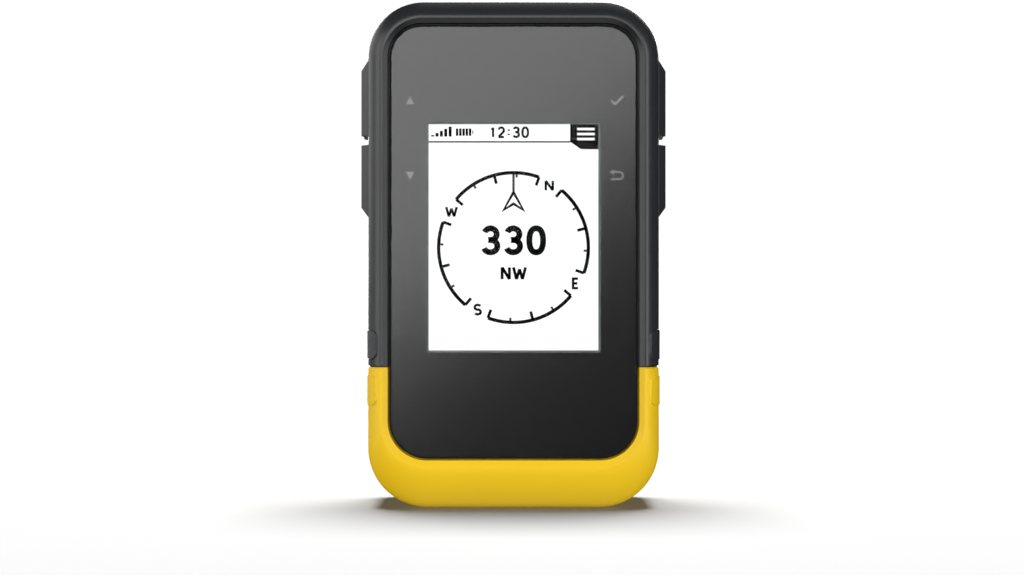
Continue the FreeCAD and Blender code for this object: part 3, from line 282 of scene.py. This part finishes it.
# %% Battery bay
tray = finish("tray_pc_abs", "#1f2022", "#191a1c", 0.5, 0.3, 0.006, IOR=1.57)
dress(tray, "battery_tray")
paste = finish("cell_filling", "#3a3632", "#2f2c28", 0.8, 0.4, 0.02)
dress(paste, "battery_fills")
sleeve = finish("printed_cell_sleeve", "#e6e4dc", "#dcdad2", 0.3, 0.5, 0.002, IOR=1.54, Coat_Weight=0.5,
                Coat_Roughness=0.12)
tree = sleeve.node_tree
place = node(tree, "ShaderNodeTexCoord").outputs["Object"]
height = node(tree, "ShaderNodeSeparateXYZ", {0: place}).outputs["Z"]
bands = node(tree, "ShaderNodeMapRange", {0: height, 1: 37.9 * MM, 2: 38.1 * MM, 3: 0.0, 4: 1.0})
stripe = node(tree, "ShaderNodeMath", {0: height, 1: 60 * MM, 2: 0.9 * MM}, operation="COMPARE")
teal, cream = linear("#1f6f78"), linear("#e4e1d8")
halves = node(tree, "ShaderNodeMix", {0: bands.outputs[0], 6: teal, 7: cream}, data_type="RGBA")
striped = node(tree, "ShaderNodeMix", {0: stripe.outputs[0], 6: halves.outputs[2], 7: teal}, data_type="RGBA")
tree.links.new(striped.outputs[2], tree.nodes["Principled BSDF"].inputs["Base Color"])
dress(sleeve, "battery_jackets")

# %% [markdown]
# ## Smooth moulded faces
# The frame's faces are triangles that don't share corners, so each one would shade
# flat and a round edge would show facets. A modifier merges the corners, shades
# the faces smooth, and keeps an edge hard where two faces meet at a wide angle.
# The vertices themselves stay where they are: only the shading changes.

# %% Smooth shading for the frame
def smooth_faces(angle):
    """A node group: merge corners closer than a micrometre, shade smooth, keep edges wider than angle hard."""
    group = bpy.data.node_groups.new("smooth_moulded_faces", "GeometryNodeTree")
    group.interface.new_socket("Geometry", in_out="INPUT", socket_type="NodeSocketGeometry")
    group.interface.new_socket("Geometry", in_out="OUTPUT", socket_type="NodeSocketGeometry")
    start = node(group, "NodeGroupInput").outputs[0]
    merged = node(group, "GeometryNodeMergeByDistance", {"Geometry": start, "Distance": 1e-6})
    soft = node(group, "GeometryNodeSetShadeSmooth", {"Geometry": merged.outputs[0], "Shade Smooth": True},
                domain="FACE")
    bend = node(group, "GeometryNodeInputMeshEdgeAngle").outputs["Unsigned Angle"]
    wide = node(group, "FunctionNodeCompare", {0: bend, 1: math.radians(angle)}, operation="GREATER_THAN")
    gentle = node(group, "FunctionNodeBooleanMath", {0: wide.outputs[0]}, operation="NOT")
    hard = node(group, "GeometryNodeSetShadeSmooth", {"Geometry": soft.outputs[0], "Shade Smooth": gentle.outputs[0]},
                domain="EDGE")
    node(group, "NodeGroupOutput", {0: hard.outputs[0]})
    return group


smoothing = smooth_faces(28)
for each in nodes.values():
    each.modifiers.new("smooth_moulded_faces", "NODES").node_group = smoothing
print("smoothed", len(nodes), "nodes")

# %% [markdown]
# ## Strokes and plates
# Flat print, thin plates and bars all come from one idea: a path in the X and Z
# plane, with a rectangular section carried along it. At a bend the two edges meet
# on the line that halves the angle, as a mitred frame does, so a ring, a tick, an
# arrow and a bar are one function. A plate is an outline given a front and a back.

# %% Strokes and plates
def stroke(path, width, front, back, closed=False):
    """A bar along a path of (x, z) points in mm. Each point's section is the path point plus and minus half the
    width along the mitre, (n1 + n2) / (1 + n1.n2) for the normals n1 and n2 either side, at y = front and y = back."""
    p = np.asarray(path, float)
    ahead = np.roll(p, -1, 0) - p
    ahead /= np.linalg.norm(ahead, axis=1, keepdims=True) + 1e-12
    behind = np.roll(ahead, 1, 0)
    if not closed:
        ahead[-1], behind[0] = behind[-1], ahead[0]
    n1, n2 = (np.stack([-d[:, 1], d[:, 0]], 1) for d in (behind, ahead))
    mitre = (n1 + n2) / np.maximum(1 + (n1 * n2).sum(1, keepdims=True), 0.2) * width / 2
    left, right = p + mitre, p - mitre
    ring = np.stack([np.insert(left, 1, front, 1), np.insert(right, 1, front, 1),
                     np.insert(right, 1, back, 1), np.insert(left, 1, back, 1)], 1)
    n = len(p)
    i = np.arange(n if closed else n - 1)[:, None]
    k = np.arange(4)[None, :]
    j, m = (i + 1) % n, (k + 1) % 4
    faces = np.stack([i * 4 + k, j * 4 + k, j * 4 + m, i * 4 + m], 2).reshape(-1, 4).tolist()
    if not closed:
        faces += [[0, 1, 2, 3], [4 * n - 1, 4 * n - 2, 4 * n - 3, 4 * n - 4]]
    return ring.reshape(-1, 3), faces


def plate(outline, front, back):
    """A flat plate: the outline of (x, z) points in mm, anticlockwise from the front, at y = front and y = back."""
    o = np.asarray(outline, float)
    n = len(o)
    points = np.concatenate([np.insert(o, 1, front, 1), np.insert(o, 1, back, 1)])
    i = np.arange(n)
    j = (i + 1) % n
    sides = np.stack([i, i + n, j + n, j], 1).tolist()
    return points, [i.tolist(), (i[::-1] + n).tolist()] + sides


def piece(name, parts, material, body, smooth=False):
    """One mesh object from (points in mm, faces) parts, with its place in its mesh, riding on a body."""
    points, faces, start = [], [], 0
    for p, f in parts:
        points.append(np.asarray(p, float))
        faces += [[v + start for v in face] for face in f]
        start += len(p)
    mesh = bpy.data.meshes.new(name)
    mesh.from_pydata((np.concatenate(points) * MM).tolist(), [], faces)
    mesh.polygons.foreach_set("use_smooth", np.full(len(faces), smooth))
    mesh.materials.append(material)
    made = bpy.data.objects.new(name, mesh)
    bpy.context.scene.collection.objects.link(made)
    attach(made, body)
    print(name, len(points), "parts", len(faces), "faces")
    return made


def arc(centre, radius, start, end, steps):
    """Points on a circle: (x, z) = centre + radius (sin a, cos a), a in degrees clockwise from the top."""
    a = np.radians(np.linspace(start, end, steps))
    return np.stack([centre[0] + radius * np.sin(a), centre[1] + radius * np.cos(a)], 1)


# %% [markdown]
# ## Display lens
# The lens is moulded polycarbonate. Its dark border has an anti-glare hard coat,
# a skin of bumps far smaller than the eye can see, so it is drawn as roughness: a
# lamp's mirror image spreads into a soft gradient. The window over the picture
# has an anti-reflection coat as well, and is almost invisible. Two coats are two
# materials, so the lens is made as two pieces that stand for the one in the frame.
# The outer edge and its bevel are a third piece in matt black, painted shade that
# stands for the shadow in the narrow gap round the lens and makes the thin dark
# line there. Border and edge are loops of rings: each ring is a rounded rectangle
# at its own depth, and the last joins the first, which closes the solid.

# %% Display lens
def rounded(half, low, high, r_low, r_high, steps=10):
    """A rounded rectangle in X and Z, anticlockwise from the front: each corner is centre + r (cos a, sin a)."""
    corners = ((half - r_low, low + r_low, r_low, -90), (half - r_high, high - r_high, r_high, 0),
               (r_high - half, high - r_high, r_high, 90), (r_low - half, low + r_low, r_low, 180))
    parts = []
    for x, z, r, start in corners:
        a = np.radians(start + np.linspace(0, 90, steps))
        parts.append(np.stack([x + r * np.cos(a), z + r * np.sin(a)], 1))
    return np.concatenate(parts)


def loop_of_rings(rings):
    """A closed tube: rings of equal length at their own depths, (outline, y) each, and the last joins the first."""
    points = np.stack([np.insert(outline, 1, y, 1) for outline, y in rings])
    k, i = np.arange(len(rings))[:, None], np.arange(points.shape[1])[None, :]
    n, k2, i2 = points.shape[1], (k + 1) % len(rings), (i + 1) % points.shape[1]
    faces = np.stack([k * n + i, k * n + i2, k2 * n + i2, k2 * n + i], 2).reshape(-1, 4).tolist()
    return points.reshape(-1, 3), faces


low, high = (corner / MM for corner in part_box("display_lens"))
BEVEL, WINDOW = 0.3, rounded(17.4, 31.2, 77.3, 0.5, 0.5)


def lens_ring(inset):
    """The lens outline drawn in by inset mm."""
    return rounded(high.x - inset, low.z + inset, high.z - inset, 7.5 - inset, 6.5 - inset)


EDGE, BACK = 0.42, high.y + 0.01
edge_rings = [(lens_ring(0), BACK), (lens_ring(0), low.y + BEVEL), (lens_ring(0.1), low.y + 0.09),
              (lens_ring(BEVEL), low.y), (lens_ring(EDGE), low.y), (lens_ring(EDGE), BACK)]
border_rings = [(lens_ring(EDGE + 0.01), BACK), (lens_ring(EDGE + 0.01), low.y), (WINDOW, low.y), (WINDOW, BACK)]
# Matt black on the lens edge: painted shade for the gap between lens and housing.
gap_shade_ink = finish("painted_gap_shade_black", "#141415", "#101011", 0.75, 0.4, 0.002, edge=0.04, Specular_IOR_Level=0.1)
lens = finish("antiglare_polycarbonate", "#ffffff", "#fdfefe", 0.153, 0.5, 0.0, spread=0.002, edge=0.06,
              IOR=1.585, Transmission_Weight=1.0)
clear = finish("antireflection_window", "#ffffff", "#fdfefe", 0.04, 0.5, 0.0, spread=0.002, edge=0.02,
               IOR=1.09, Transmission_Weight=1.0)
border = piece("lens_border", [loop_of_rings(border_rings)], lens, "unit")
window = piece("lens_window", [plate(rounded(17.38, 31.22, 77.28, 0.48, 0.48), low.y, high.y)], clear, "unit")
edge = piece("lens_edge", [loop_of_rings(edge_rings)], gap_shade_ink, "unit")
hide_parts("display_lens")
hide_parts("display_lens")
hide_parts("display_lens")

# %% [markdown]
# ## The picture on the display
# The display shows dark marks on a bright page lit from behind. The page is a thin
# sheet just in front of the cell that glows evenly, as the light guide makes it,
# and each dark mark is a thin plate on it. The page is a grid of tiny shutters
# 0.15 mm apart, drawn at 0.3 mm so that it can just show.

# %% The page
PAGE_FRONT, PAGE_BACK = -13.94, -13.91
INK_FRONT, INK_BACK = -13.97, -13.94
HALF_W, LOW, HIGH = 17.0, 31.6, 76.9
low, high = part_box("lcd_cell")
print("cell from", low.z / MM, "to", high.z / MM, "front at", low.y / MM)

page_finish = finish("backlit_display_page", "#3a3c3a", "#363836", 0.5, 0.4, 0.0, spread=0.02)
tree = page_finish.node_tree
shader = tree.nodes["Principled BSDF"]
place = node(tree, "ShaderNodeTexCoord").outputs["Object"]
upright = node(tree, "ShaderNodeMapping", {"Vector": place, "Rotation": (math.pi / 2, 0, 0)})
grid = node(tree, "ShaderNodeTexBrick", {"Vector": upright.outputs[0], "Color1": linear("#ffffff"),
                                         "Color2": linear("#ffffff"), "Mortar": linear("#eef0ee"), "Scale": 1.0,
                                         "Mortar Size": 0.02 * MM, "Brick Width": 0.3 * MM,
                                         "Row Height": 0.3 * MM}, offset=0.0)
tree.links.new(grid.outputs["Color"], shader.inputs["Emission Color"])
shader.inputs["Emission Strength"].default_value = 1.02
sheet = [(-HALF_W, LOW), (HALF_W, LOW), (HALF_W, HIGH), (-HALF_W, HIGH)]
piece("display_page", [plate(sheet, PAGE_FRONT, PAGE_BACK)], page_finish, "unit")

# %% [markdown]
# ## Compass ring and pointer
# The ring is four arcs with a gap for each letter. The heading shown is 330, so
# north stands 30 degrees clockwise of the top. Ticks point inwards: long ones at the ends
# of each arc and half way between letters, and short faint ones between those.

# %% Compass ring
CENTRE, RADIUS, LINE = (0.0, 52.2), 15.0, 0.7
NORTH, GAP = 30, 10
LONG_TICK, SHORT_TICK = 1.75, 0.95
ink = finish("display_ink", "#070707", "#050505", 0.7, 0.4, 0.0, spread=0.02, Specular_IOR_Level=0.1)
faint = finish("display_ink_faint", "#3c3e3c", "#363836", 0.7, 0.4, 0.0, spread=0.02, Specular_IOR_Level=0.1)


def tick(angle, length):
    """A straight path from the ring inwards by length mm, at an angle clockwise from the top."""
    return [arc(CENTRE, r, angle, angle, 1)[0] for r in (RADIUS, RADIUS - length)]


marks = []
for letter in range(4):
    start = NORTH + 90 * letter
    marks.append(stroke(arc(CENTRE, RADIUS, start + GAP, start + 90 - GAP, 57), LINE, INK_FRONT, INK_BACK))
    marks += [stroke(tick(start + a, LONG_TICK), 0.58, INK_FRONT, INK_BACK) for a in (GAP, 45, 90 - GAP)]
small = [stroke(tick(NORTH + 90 * k + a, SHORT_TICK), 0.44, INK_FRONT, INK_BACK)
         for k in range(4) for a in (27.5, 62.5)]
small.append(stroke([(0, 67.0), (0, 63.5)], 0.48, INK_FRONT, INK_BACK))
arrow = [(0, 63.3), (-1.95, 59.75), (0, 61.0), (1.95, 59.75)]
marks.append(stroke(arrow, 0.54, INK_FRONT, INK_BACK, closed=True))

# %% [markdown]
# ## Status line
# A thin line closes off the top of the page. Above it stand five signal bars, a
# battery gauge in five blocks and the clock. A dark tab with one cut corner holds
# three pale bars, the sign for a menu.

# %% Status line and menu tab
TAB = [(11.35, 76.9), (11.35, 73.4), (13.5, 71.9), (17.0, 71.9), (17.0, 76.9)]
small.append(stroke([(-17, 73.38), (11.4, 73.38)], 0.3, INK_FRONT, INK_BACK))
marks.append(plate(TAB, INK_FRONT, INK_BACK))
bars = np.linspace(-16.2, -12.7, 5)
marks += [stroke([(x, 74.45), (x, 74.75 + 0.42 * k)], 0.6, INK_FRONT, INK_BACK) for k, x in enumerate(bars)]
marks += [stroke([(x, 74.6), (x, 76.05)], 0.5, INK_FRONT, INK_BACK) for x in np.linspace(-11.3, -8.7, 5)]
marks.append(stroke([(-8.15, 75.0), (-8.15, 75.65)], 0.2, INK_FRONT, INK_BACK))
piece("display_marks", marks, ink, "unit")
piece("display_faint_marks", small, faint, "unit")
piece("menu_bars", [stroke([(12.75, z), (16.25, z)], 0.5, INK_FRONT - 0.02, INK_FRONT) for z in (73.95, 74.95, 75.95)],
      page_finish, "unit")

# %% [markdown]
# ## Letters and figures
# Letters and figures are strokes too, as on any instrument face. Each is drawn in
# a square that runs from -1 to 1 both ways, with straight runs and parts of
# ellipses, and then stretched to the width and height it has on the page. Sharp
# corners are two strokes that overlap, since a mitre there would make a long spike.

# %% Letters
def bowl(x, z, rx, rz, start, end):
    """Part of an ellipse: (x + rx cos a, z + rz sin a), a in degrees anticlockwise from the right."""
    a = np.radians(np.linspace(start, end, 33))
    return np.stack([x + rx * np.cos(a), z + rz * np.sin(a)], 1)


def strokes_of(letter):
    """The open paths of a letter, figure or colon in the square from -1 to 1."""
    return {
        "1": [[(-0.8, 0.5), (0.2, 0.95)], [(0.2, 1), (0.2, -1)]],
        "2": [np.concatenate([bowl(0, 0.42, 0.96, 0.58, 165, -38), [(-0.95, -0.95)]]), [(-1, -1), (1, -1)]],
        "3": [bowl(-0.04, 0.51, 0.9, 0.49, 160, -108), bowl(-0.04, -0.48, 1.0, 0.52, 108, -160)],
        ":": [[(0, 0.6), (0, 0.3)], [(0, -0.3), (0, -0.6)]],
        "N": [[(-1, -1), (-1, 1)], [(-1, 1), (1, -1)], [(1, -1), (1, 1)]],
        "E": [[(1, 1), (-1, 1), (-1, -1), (1, -1)], [(-1, 0), (0.7, 0)]],
        "S": [np.concatenate([bowl(0, 0.5, 1, 0.5, 30, 270), bowl(0, -0.5, 1, 0.5, 90, -150)[1:]])],
        "W": [[(-1, 1), (-0.5, -1)], [(-0.5, -1), (0, 0.7)], [(0, 0.7), (0.5, -1)], [(0.5, -1), (1, 1)]],
    }[letter]


def lettered(letter, x, z, width, height, line):
    """The strokes of one letter centred on (x, z), width by height mm, each line mm wide."""
    reach = np.array([width - line, height - line]) / 2
    if letter == "0":
        a = np.radians(np.arange(0, 360, 6))
        ring = np.stack([np.sign(f(a)) * np.abs(f(a)) ** 0.86 for f in (np.cos, np.sin)], 1)
        return [stroke(ring * reach + (x, z), line, INK_FRONT, INK_BACK, closed=True)]
    return [stroke(np.array(path) * reach + (x, z), line, INK_FRONT, INK_BACK) for path in strokes_of(letter)]


heading = sum((lettered(d, x, 53.65, 3.95, 6.0, 1.2) for d, x in zip("330", (-4.55, 0.0, 4.55))), [])
piece("display_heading", heading, ink, "unit")
words = []
for k, (letter, wide) in enumerate(zip("NESW", (1.9, 1.5, 1.7, 2.6))):
    x, z = arc(CENTRE, 14.35, NORTH + 90 * k, NORTH + 90 * k, 1)[0]
    words += lettered(letter, x, z, wide, 2.4, 0.5)
words += lettered("N", -1.55, 47.05, 2.05, 2.95, 0.58) + lettered("W", 1.2, 47.05, 3.0, 2.95, 0.58)
for letter, x, wide in zip("12:30", (-4.15, -2.45, -0.95, 0.55, 2.35), (1.0, 1.55, 0.46, 1.55, 1.55)):
    words += lettered(letter, x, 75.3, wide, 2.35, 0.46)
piece("display_letters", words, ink, "unit")

# %% [markdown]
# ## Print on the glass
# Four small signs tell what the side keys do: up and down at the left, accept and
# go back at the right. They are pad printed in grey on the back of the lens, where
# no finger can wear them off, so the shine of the lens lies over them. The return
# sign is a straight run, half a circle and a run back: three pieces of one path.

# %% Signs beside the keys
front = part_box("display_lens")[1].y / MM - 0.01
print("print front at", round(front - 0.01, 3), "mm")
grey_print = finish("grey_pad_print", "#828384", "#7b7c7d", 0.6, 0.3, 0.0, edge=0.02, Specular_IOR_Level=0.2)
UP_Z, DOWN_Z, SIDE = 81.6, 66.6, 20.7
turn = np.radians(np.linspace(-90, 90, 13))
half_circle = np.stack([0.5 + 0.72 * np.cos(turn), 0.72 * np.sin(turn)], 1)
back_path = np.concatenate([[(-1.2, -0.72)], half_circle, [(-0.6, 0.72)]])
signs = [
    plate(np.array([(-0.85, -0.75), (0.85, -0.75), (0, 0.9)]) + (-SIDE, UP_Z), front - 0.01, front),
    plate(np.array([(0, -0.9), (0.85, 0.75), (-0.85, 0.75)]) + (-SIDE, DOWN_Z), front - 0.01, front),
    stroke(np.array([(-1.2, 0.1), (-0.35, -0.75), (1.25, 0.95)]) + (SIDE, UP_Z), 0.42, front - 0.01, front),
    stroke(back_path + (SIDE, DOWN_Z), 0.42, front - 0.01, front),
    plate(np.array([(-1.5, 0.72), (-0.6, 0.05), (-0.6, 1.39)]) + (SIDE, DOWN_Z), front - 0.01, front),
]
piece("key_signs", signs, grey_print, "unit")

# %% [markdown]
# ## Coil springs
# Each cell is held by a cone of wound spring wire. A wire is a circle carried
# along a path, and the path here is a helix whose radius shrinks as it rises. Its
# end turns lie flat, as ground coils do, because the rise follows a smooth step.

# %% Coil springs
def coil(centre, low, high, wide, narrow, turns, wire, steps=240, sides=10):
    """A round wire along the helix (cx + r cos a, cy + r sin a, z): a grows evenly, r goes from wide to narrow,
    z follows the smooth step 3t^2 - 2t^3. Each ring is path + wire (cos b outward + sin b across)."""
    t = np.linspace(0, 1, steps)
    a, r = 2 * np.pi * turns * t, wide + (narrow - wide) * t
    rise = t * t * (3 - 2 * t)
    path = np.stack([centre[0] + r * np.cos(a), centre[1] + r * np.sin(a), low + (high - low) * rise], 1)
    ahead = np.gradient(path, axis=0)
    ahead /= np.linalg.norm(ahead, axis=1, keepdims=True)
    outward = np.stack([np.cos(a), np.sin(a), np.zeros(steps)], 1)
    outward -= ahead * (outward * ahead).sum(1, keepdims=True)
    outward /= np.linalg.norm(outward, axis=1, keepdims=True)
    across = np.cross(ahead, outward)
    b = 2 * np.pi * np.arange(sides) / sides
    section = np.cos(b)[None, :, None] * outward[:, None] + np.sin(b)[None, :, None] * across[:, None]
    rings = path[:, None] + wire * section
    i, k = np.arange(steps - 1)[:, None], np.arange(sides)[None, :]
    m = (k + 1) % sides
    quads = np.stack([i * sides + k, i * sides + m, (i + 1) * sides + m, (i + 1) * sides + k], 2)
    last = (steps - 1) * sides
    ends = [list(range(sides))[::-1], [last + v for v in range(sides)]]
    return rings.reshape(-1, 3), quads.reshape(-1, 4).tolist() + ends


low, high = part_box("battery_springs")
WIRE, TURNS, CELL_X = 0.32, 4.5, 7.65
axis_y = (low.y + high.y) / 2 / MM
foot, crown = low.z / MM, high.z / MM
CONE, BASE_R, TIP_R = 3.8, 4.4 - WIRE, 2.6 - WIRE
springs = piece("cone_coil_springs", [
    coil((-CELL_X, axis_y), foot + WIRE, foot + CONE - WIRE, BASE_R, TIP_R, TURNS, WIRE),
    coil((CELL_X, axis_y), crown - WIRE, crown - CONE + WIRE, BASE_R, TIP_R, -TURNS, WIRE)],
    contact, "unit", smooth=True)
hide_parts("battery_springs")

# %% [markdown]
# ## Socket cap
# The cap over the charging socket is moulded with the strap that holds it. The
# strap is a thin strip that lies on the anchor, rises over the hinge line and ends
# on the cap. Three raised bars at the cap's free end give a fingernail something
# to catch.

# %% Cap strap and grip bars
def turned(part):
    """Turns a part a quarter about Z: x becomes y and y becomes -x, so a path in (x, z) becomes one in (y, z)."""
    points, faces = part
    return np.stack([-points[:, 1], points[:, 0], points[:, 2]], 1), faces


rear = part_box("weather_cap")[1].y / MM
t = np.linspace(0, 1, 25)
run = np.stack([14.2 + (rear + 0.2 - 14.2) * t + 0.35 * np.sin(np.pi * t), 79.8 + 3.2 * t], 1)
strap = piece("cap_strap", [turned(stroke(run, 0.45, -4.2, 4.2))], cap_rubber, "unit")
strap.parent = None
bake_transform(strap)
bars_z = np.array([90.4, 91.6, 92.8])
grips = piece("cap_grip_bars", [stroke([(-3.6, z), (3.6, z)], 0.55, rear - 0.05, rear + 0.3) for z in bars_z],
              cap_rubber, "weather_cap")
bevel = grips.modifiers.new("soft_edges", "BEVEL")
bevel.width, bevel.segments = 0.12 * MM, 2

# %% [markdown]
# ## Moulded marks on the door
# A raised arc with an arrow head above the latch shows which way it turns. The tool
# for such a mark is cut a fifth of a millimetre deep, so the mark stands that much
# above the door. It is the door's own plastic, so it has the door's own finish.

# %% Latch mark
LATCH, MARK_R, HEAD = (0, 12.6), 8.4, 1.1
root, top = 13.9 - 0.03, 13.9 + 0.18
tip, inner, outer = (arc(LATCH, r, a, a, 1)[0] for r, a in ((MARK_R, 354), (MARK_R - HEAD, 342), (MARK_R + HEAD, 342)))
marks = [stroke(arc(LATCH, MARK_R, 300, 345, 19), 0.55, root, top), plate([outer, tip, inner], root, top)]
piece("latch_turn_mark", marks, charcoal, "battery_door")

# %% [markdown]
# ## Cell print
# Each cell carries a plus sign near its raised end and a minus sign near its flat
# end. Flat signs can't lie on a round can, so a sign is a fine grid of points
# that is wrapped: distance across it becomes an angle round the cell.

# %% Plus and minus signs
def wrapped(centre, radius, z, half, bar, thick, upright):
    """A sign in grid patches bent round a cell: angle = s / radius for distance s across, measured from the rear."""
    def patch(s0, s1, z0, z1):
        s, h = np.meshgrid(np.linspace(s0, s1, 9), np.linspace(z0, z1, 3), indexing="ij")
        a = s / radius
        shells = [np.stack([centre[0] + r * np.sin(a), centre[1] + r * np.cos(a), z + h], 2).reshape(-1, 3)
                  for r in (radius + thick, radius)]
        i, j = np.meshgrid(np.arange(8), np.arange(2), indexing="ij")
        q = np.stack([i * 3 + j, i * 3 + j + 1, (i + 1) * 3 + j + 1, (i + 1) * 3 + j], 2).reshape(-1, 4)
        rim = [3 * k for k in range(9)] + [25, 26] + [3 * k + 2 for k in range(7, -1, -1)] + [1]
        sides = [[rim[k], rim[k] + 27, rim[(k + 1) % 20] + 27, rim[(k + 1) % 20]] for k in range(20)]
        return np.concatenate(shells), q.tolist() + (q[:, ::-1] + 27).tolist() + sides
    signs = [patch(-half, half, -bar / 2, bar / 2)]
    if upright:
        signs += [patch(-bar / 2, bar / 2, bar / 2, half), patch(-bar / 2, bar / 2, -half, -bar / 2)]
    return signs


sign_ink = finish("sleeve_print_white", "#f2f1ec", "#e9e8e2", 0.35, 0.4, 0.0, edge=0.02, IOR=1.5)
dark_ink = finish("sleeve_print_teal", "#1f6f78", "#1a646d", 0.35, 0.4, 0.0, edge=0.02, IOR=1.5)
CELL_Y, CELL_R, LOW_SIGN, HIGH_SIGN = 4.5, 7.25, 31, 65
HALF, BAR, INK = 1.6, 0.7, 0.02
for name, z, left_is_plus, print_finish in (("cell_signs_pale", LOW_SIGN, False, sign_ink),
                                            ("cell_signs_dark", HIGH_SIGN, True, dark_ink)):
    left = wrapped((-CELL_X, CELL_Y), CELL_R, z, HALF, BAR, INK, left_is_plus)
    right = wrapped((CELL_X, CELL_Y), CELL_R, z, HALF, BAR, INK, not left_is_plus)
    piece(name, left + right, print_finish, "unit")

# %% [markdown]
# ## Floor and backdrop
# The unit stands on a pale floor that runs out of sight. Far from the unit the
# floor glows, so that it meets the pale backdrop without a line. Near the unit it
# hardly glows, and a lamp of its own above the unit gives it a soft shadow there.
# Its own tone is a middle grey under a strong lamp, which keeps the yellow of the
# foot from tinting it. It neither lights the unit nor shades the lamps below it.

# %% Floor
bpy.ops.mesh.primitive_plane_add(size=12)
floor = bpy.context.object
floor.name = "pale_floor"
table = bpy.data.materials.new("pale_table_board")
table.use_nodes = True
tree = table.node_tree
shader = tree.nodes["Principled BSDF"]
place = node(tree, "ShaderNodeTexCoord").outputs["Object"]
mottle = node(tree, "ShaderNodeTexNoise", {"Vector": place, "Scale": 6.0, "Detail": 2.0})
pale = node(tree, "ShaderNodeMix", {0: mottle.outputs["Fac"], 6: linear("#949494"), 7: linear("#989898")},
            data_type="RGBA")
tree.links.new(pale.outputs[2], shader.inputs["Base Color"])
shader.inputs["Roughness"].default_value = 0.9
shader.inputs["Specular IOR Level"].default_value = 0.1
shader.inputs["Emission Color"].default_value = linear("#ffffff")
away = node(tree, "ShaderNodeVectorMath", {0: place}, operation="LENGTH").outputs["Value"]
glow = node(tree, "ShaderNodeMapRange", {0: away, 1: 0.05, 2: 1.3, 3: 0.05, 4: 1.1}, interpolation_type="SMOOTHSTEP")
tree.links.new(glow.outputs[0], shader.inputs["Emission Strength"])
floor.data.materials.append(table)
floor.visible_diffuse = floor.visible_glossy = floor.visible_shadow = False

# %% [markdown]
# ## Studio light
# A large soft box stands behind the camera, up and to the left, turned so that its
# lower right edge runs across the mirror image in the lens: that gives the glass
# its slow slanting fade from pale to dark. One at the left lights that side, and a
# wide one at the right keeps the far edge from going black. One below, where the
# floor lets its light through, stands for the light that a pale table throws up.
# The rear ones stand almost straight behind, where they light the back and only
# graze the edges that show in front. Light linking keeps all of them off the floor.

# %% Lights
def soft_box(name, place, target, size, radiance, turn=0.0):
    """A square lamp. Its power is radiance times pi times its area, as for any flat even glow."""
    lamp = bpy.data.lights.new(name, "AREA")
    lamp.shape, lamp.size, lamp.energy = "SQUARE", size, radiance * math.pi * size * size
    made = bpy.data.objects.new(name, lamp)
    aim = (Vector(target) - Vector(place)).to_track_quat("-Z", "Y")
    made.rotation_euler = (aim.to_matrix() @ Matrix.Rotation(turn, 3, "Z")).to_euler()
    made.location, made.visible_camera = place, False
    bpy.context.scene.collection.objects.link(made)
    return made


slope = math.radians(40)
edge_middle = Vector((0.0, -2.0, 0.094))
up_left = Vector((-math.sin(slope), 0.0, math.cos(slope)))
key_place = edge_middle + up_left * 1.0
# Each lamp: name, place, the point it faces, width in metres and radiance.
lamps = [
    soft_box("key_soft_box", key_place, key_place + Vector((0, 1, 0)), 2.0, 3.2, slope),
    soft_box("left_soft_box", (-1.3, -0.25, 0.3), (0, 0, 0.05), 1.2, 2.35),
    soft_box("high_left_soft_box", (-0.9, -1.1, 1.3), (0, 0, 0.05), 0.7, 2.0),
    soft_box("high_right_soft_box", (0.9, -1.1, 1.3), (0, 0, 0.05), 0.7, 1.2),
    soft_box("right_front_soft_box", (1.4, -1.0, 0.1), (0, 0, 0.05), 1.5, 3.3),
    soft_box("low_soft_box", (0.0, -0.3, -1.2), (0, 0, 0.05), 1.1, 0.65),
    soft_box("rear_right_soft_box", (0.6, 2.4, 0.8), (0, 0, 0.05), 1.0, 16.0),
    soft_box("rear_left_soft_box", (-0.6, 2.4, 0.5), (0, 0, 0.05), 1.0, 8.0),
    soft_box("rear_top_soft_box", (0.3, 1.3, 1.6), (0, 0, 0.05), 0.9, 0.5),
    soft_box("left_edge_soft_box", (-1.2, 1.2, 0.5), (0, 0, 0.05), 0.9, 1.35),
]
table_lamp = soft_box("table_soft_box", (0.0, 0.4, 1.5), (0.0, 0.4, 0.0), 0.8, 43.0)
only_table = bpy.data.collections.new("lit_by_table_soft_box")
only_table.objects.link(floor)
table_lamp.light_linking.receiver_collection = only_table
all_but_table = bpy.data.collections.new("not_lit_by_the_others")
all_but_table.objects.link(floor)
all_but_table.collection_objects[0].light_linking.link_state = "EXCLUDE"
for lamp in lamps:
    lamp.light_linking.receiver_collection = all_but_table

world = bpy.data.worlds.new("pale_studio")
bpy.context.scene.world = world
world.use_nodes = True
tree = world.node_tree
room = tree.nodes["Background"]
room.inputs["Color"].default_value = linear("#ffffff")
room.inputs["Strength"].default_value = 0.03
backdrop = node(tree, "ShaderNodeBackground", {"Color": linear("#ffffff"), "Strength": 1.05})
seen = node(tree, "ShaderNodeLightPath").outputs["Is Camera Ray"]
mixed = node(tree, "ShaderNodeMixShader", {0: seen, 1: room.outputs[0], 2: backdrop.outputs[0]})
tree.links.new(mixed.outputs[0], tree.nodes["World Output"].inputs["Surface"])
bpy.context.scene.view_settings.view_transform = "Standard"

# %% [markdown]
# ## Camera
# A long lens held level half a metre away keeps the upright edges upright and
# the sides almost hidden, as in a catalogue.

# %% Camera
lens_data = bpy.data.cameras.new("catalogue_camera")
lens_data.lens, lens_data.sensor_width, lens_data.clip_start = 85.0, 36.0, 0.01
camera = bpy.data.objects.new("catalogue_camera", lens_data)
camera.location, camera.rotation_euler = (-0.0003, -0.4985, 0.0442), (math.pi / 2, 0, 0)
bpy.context.scene.collection.objects.link(camera)
bpy.context.scene.camera = camera
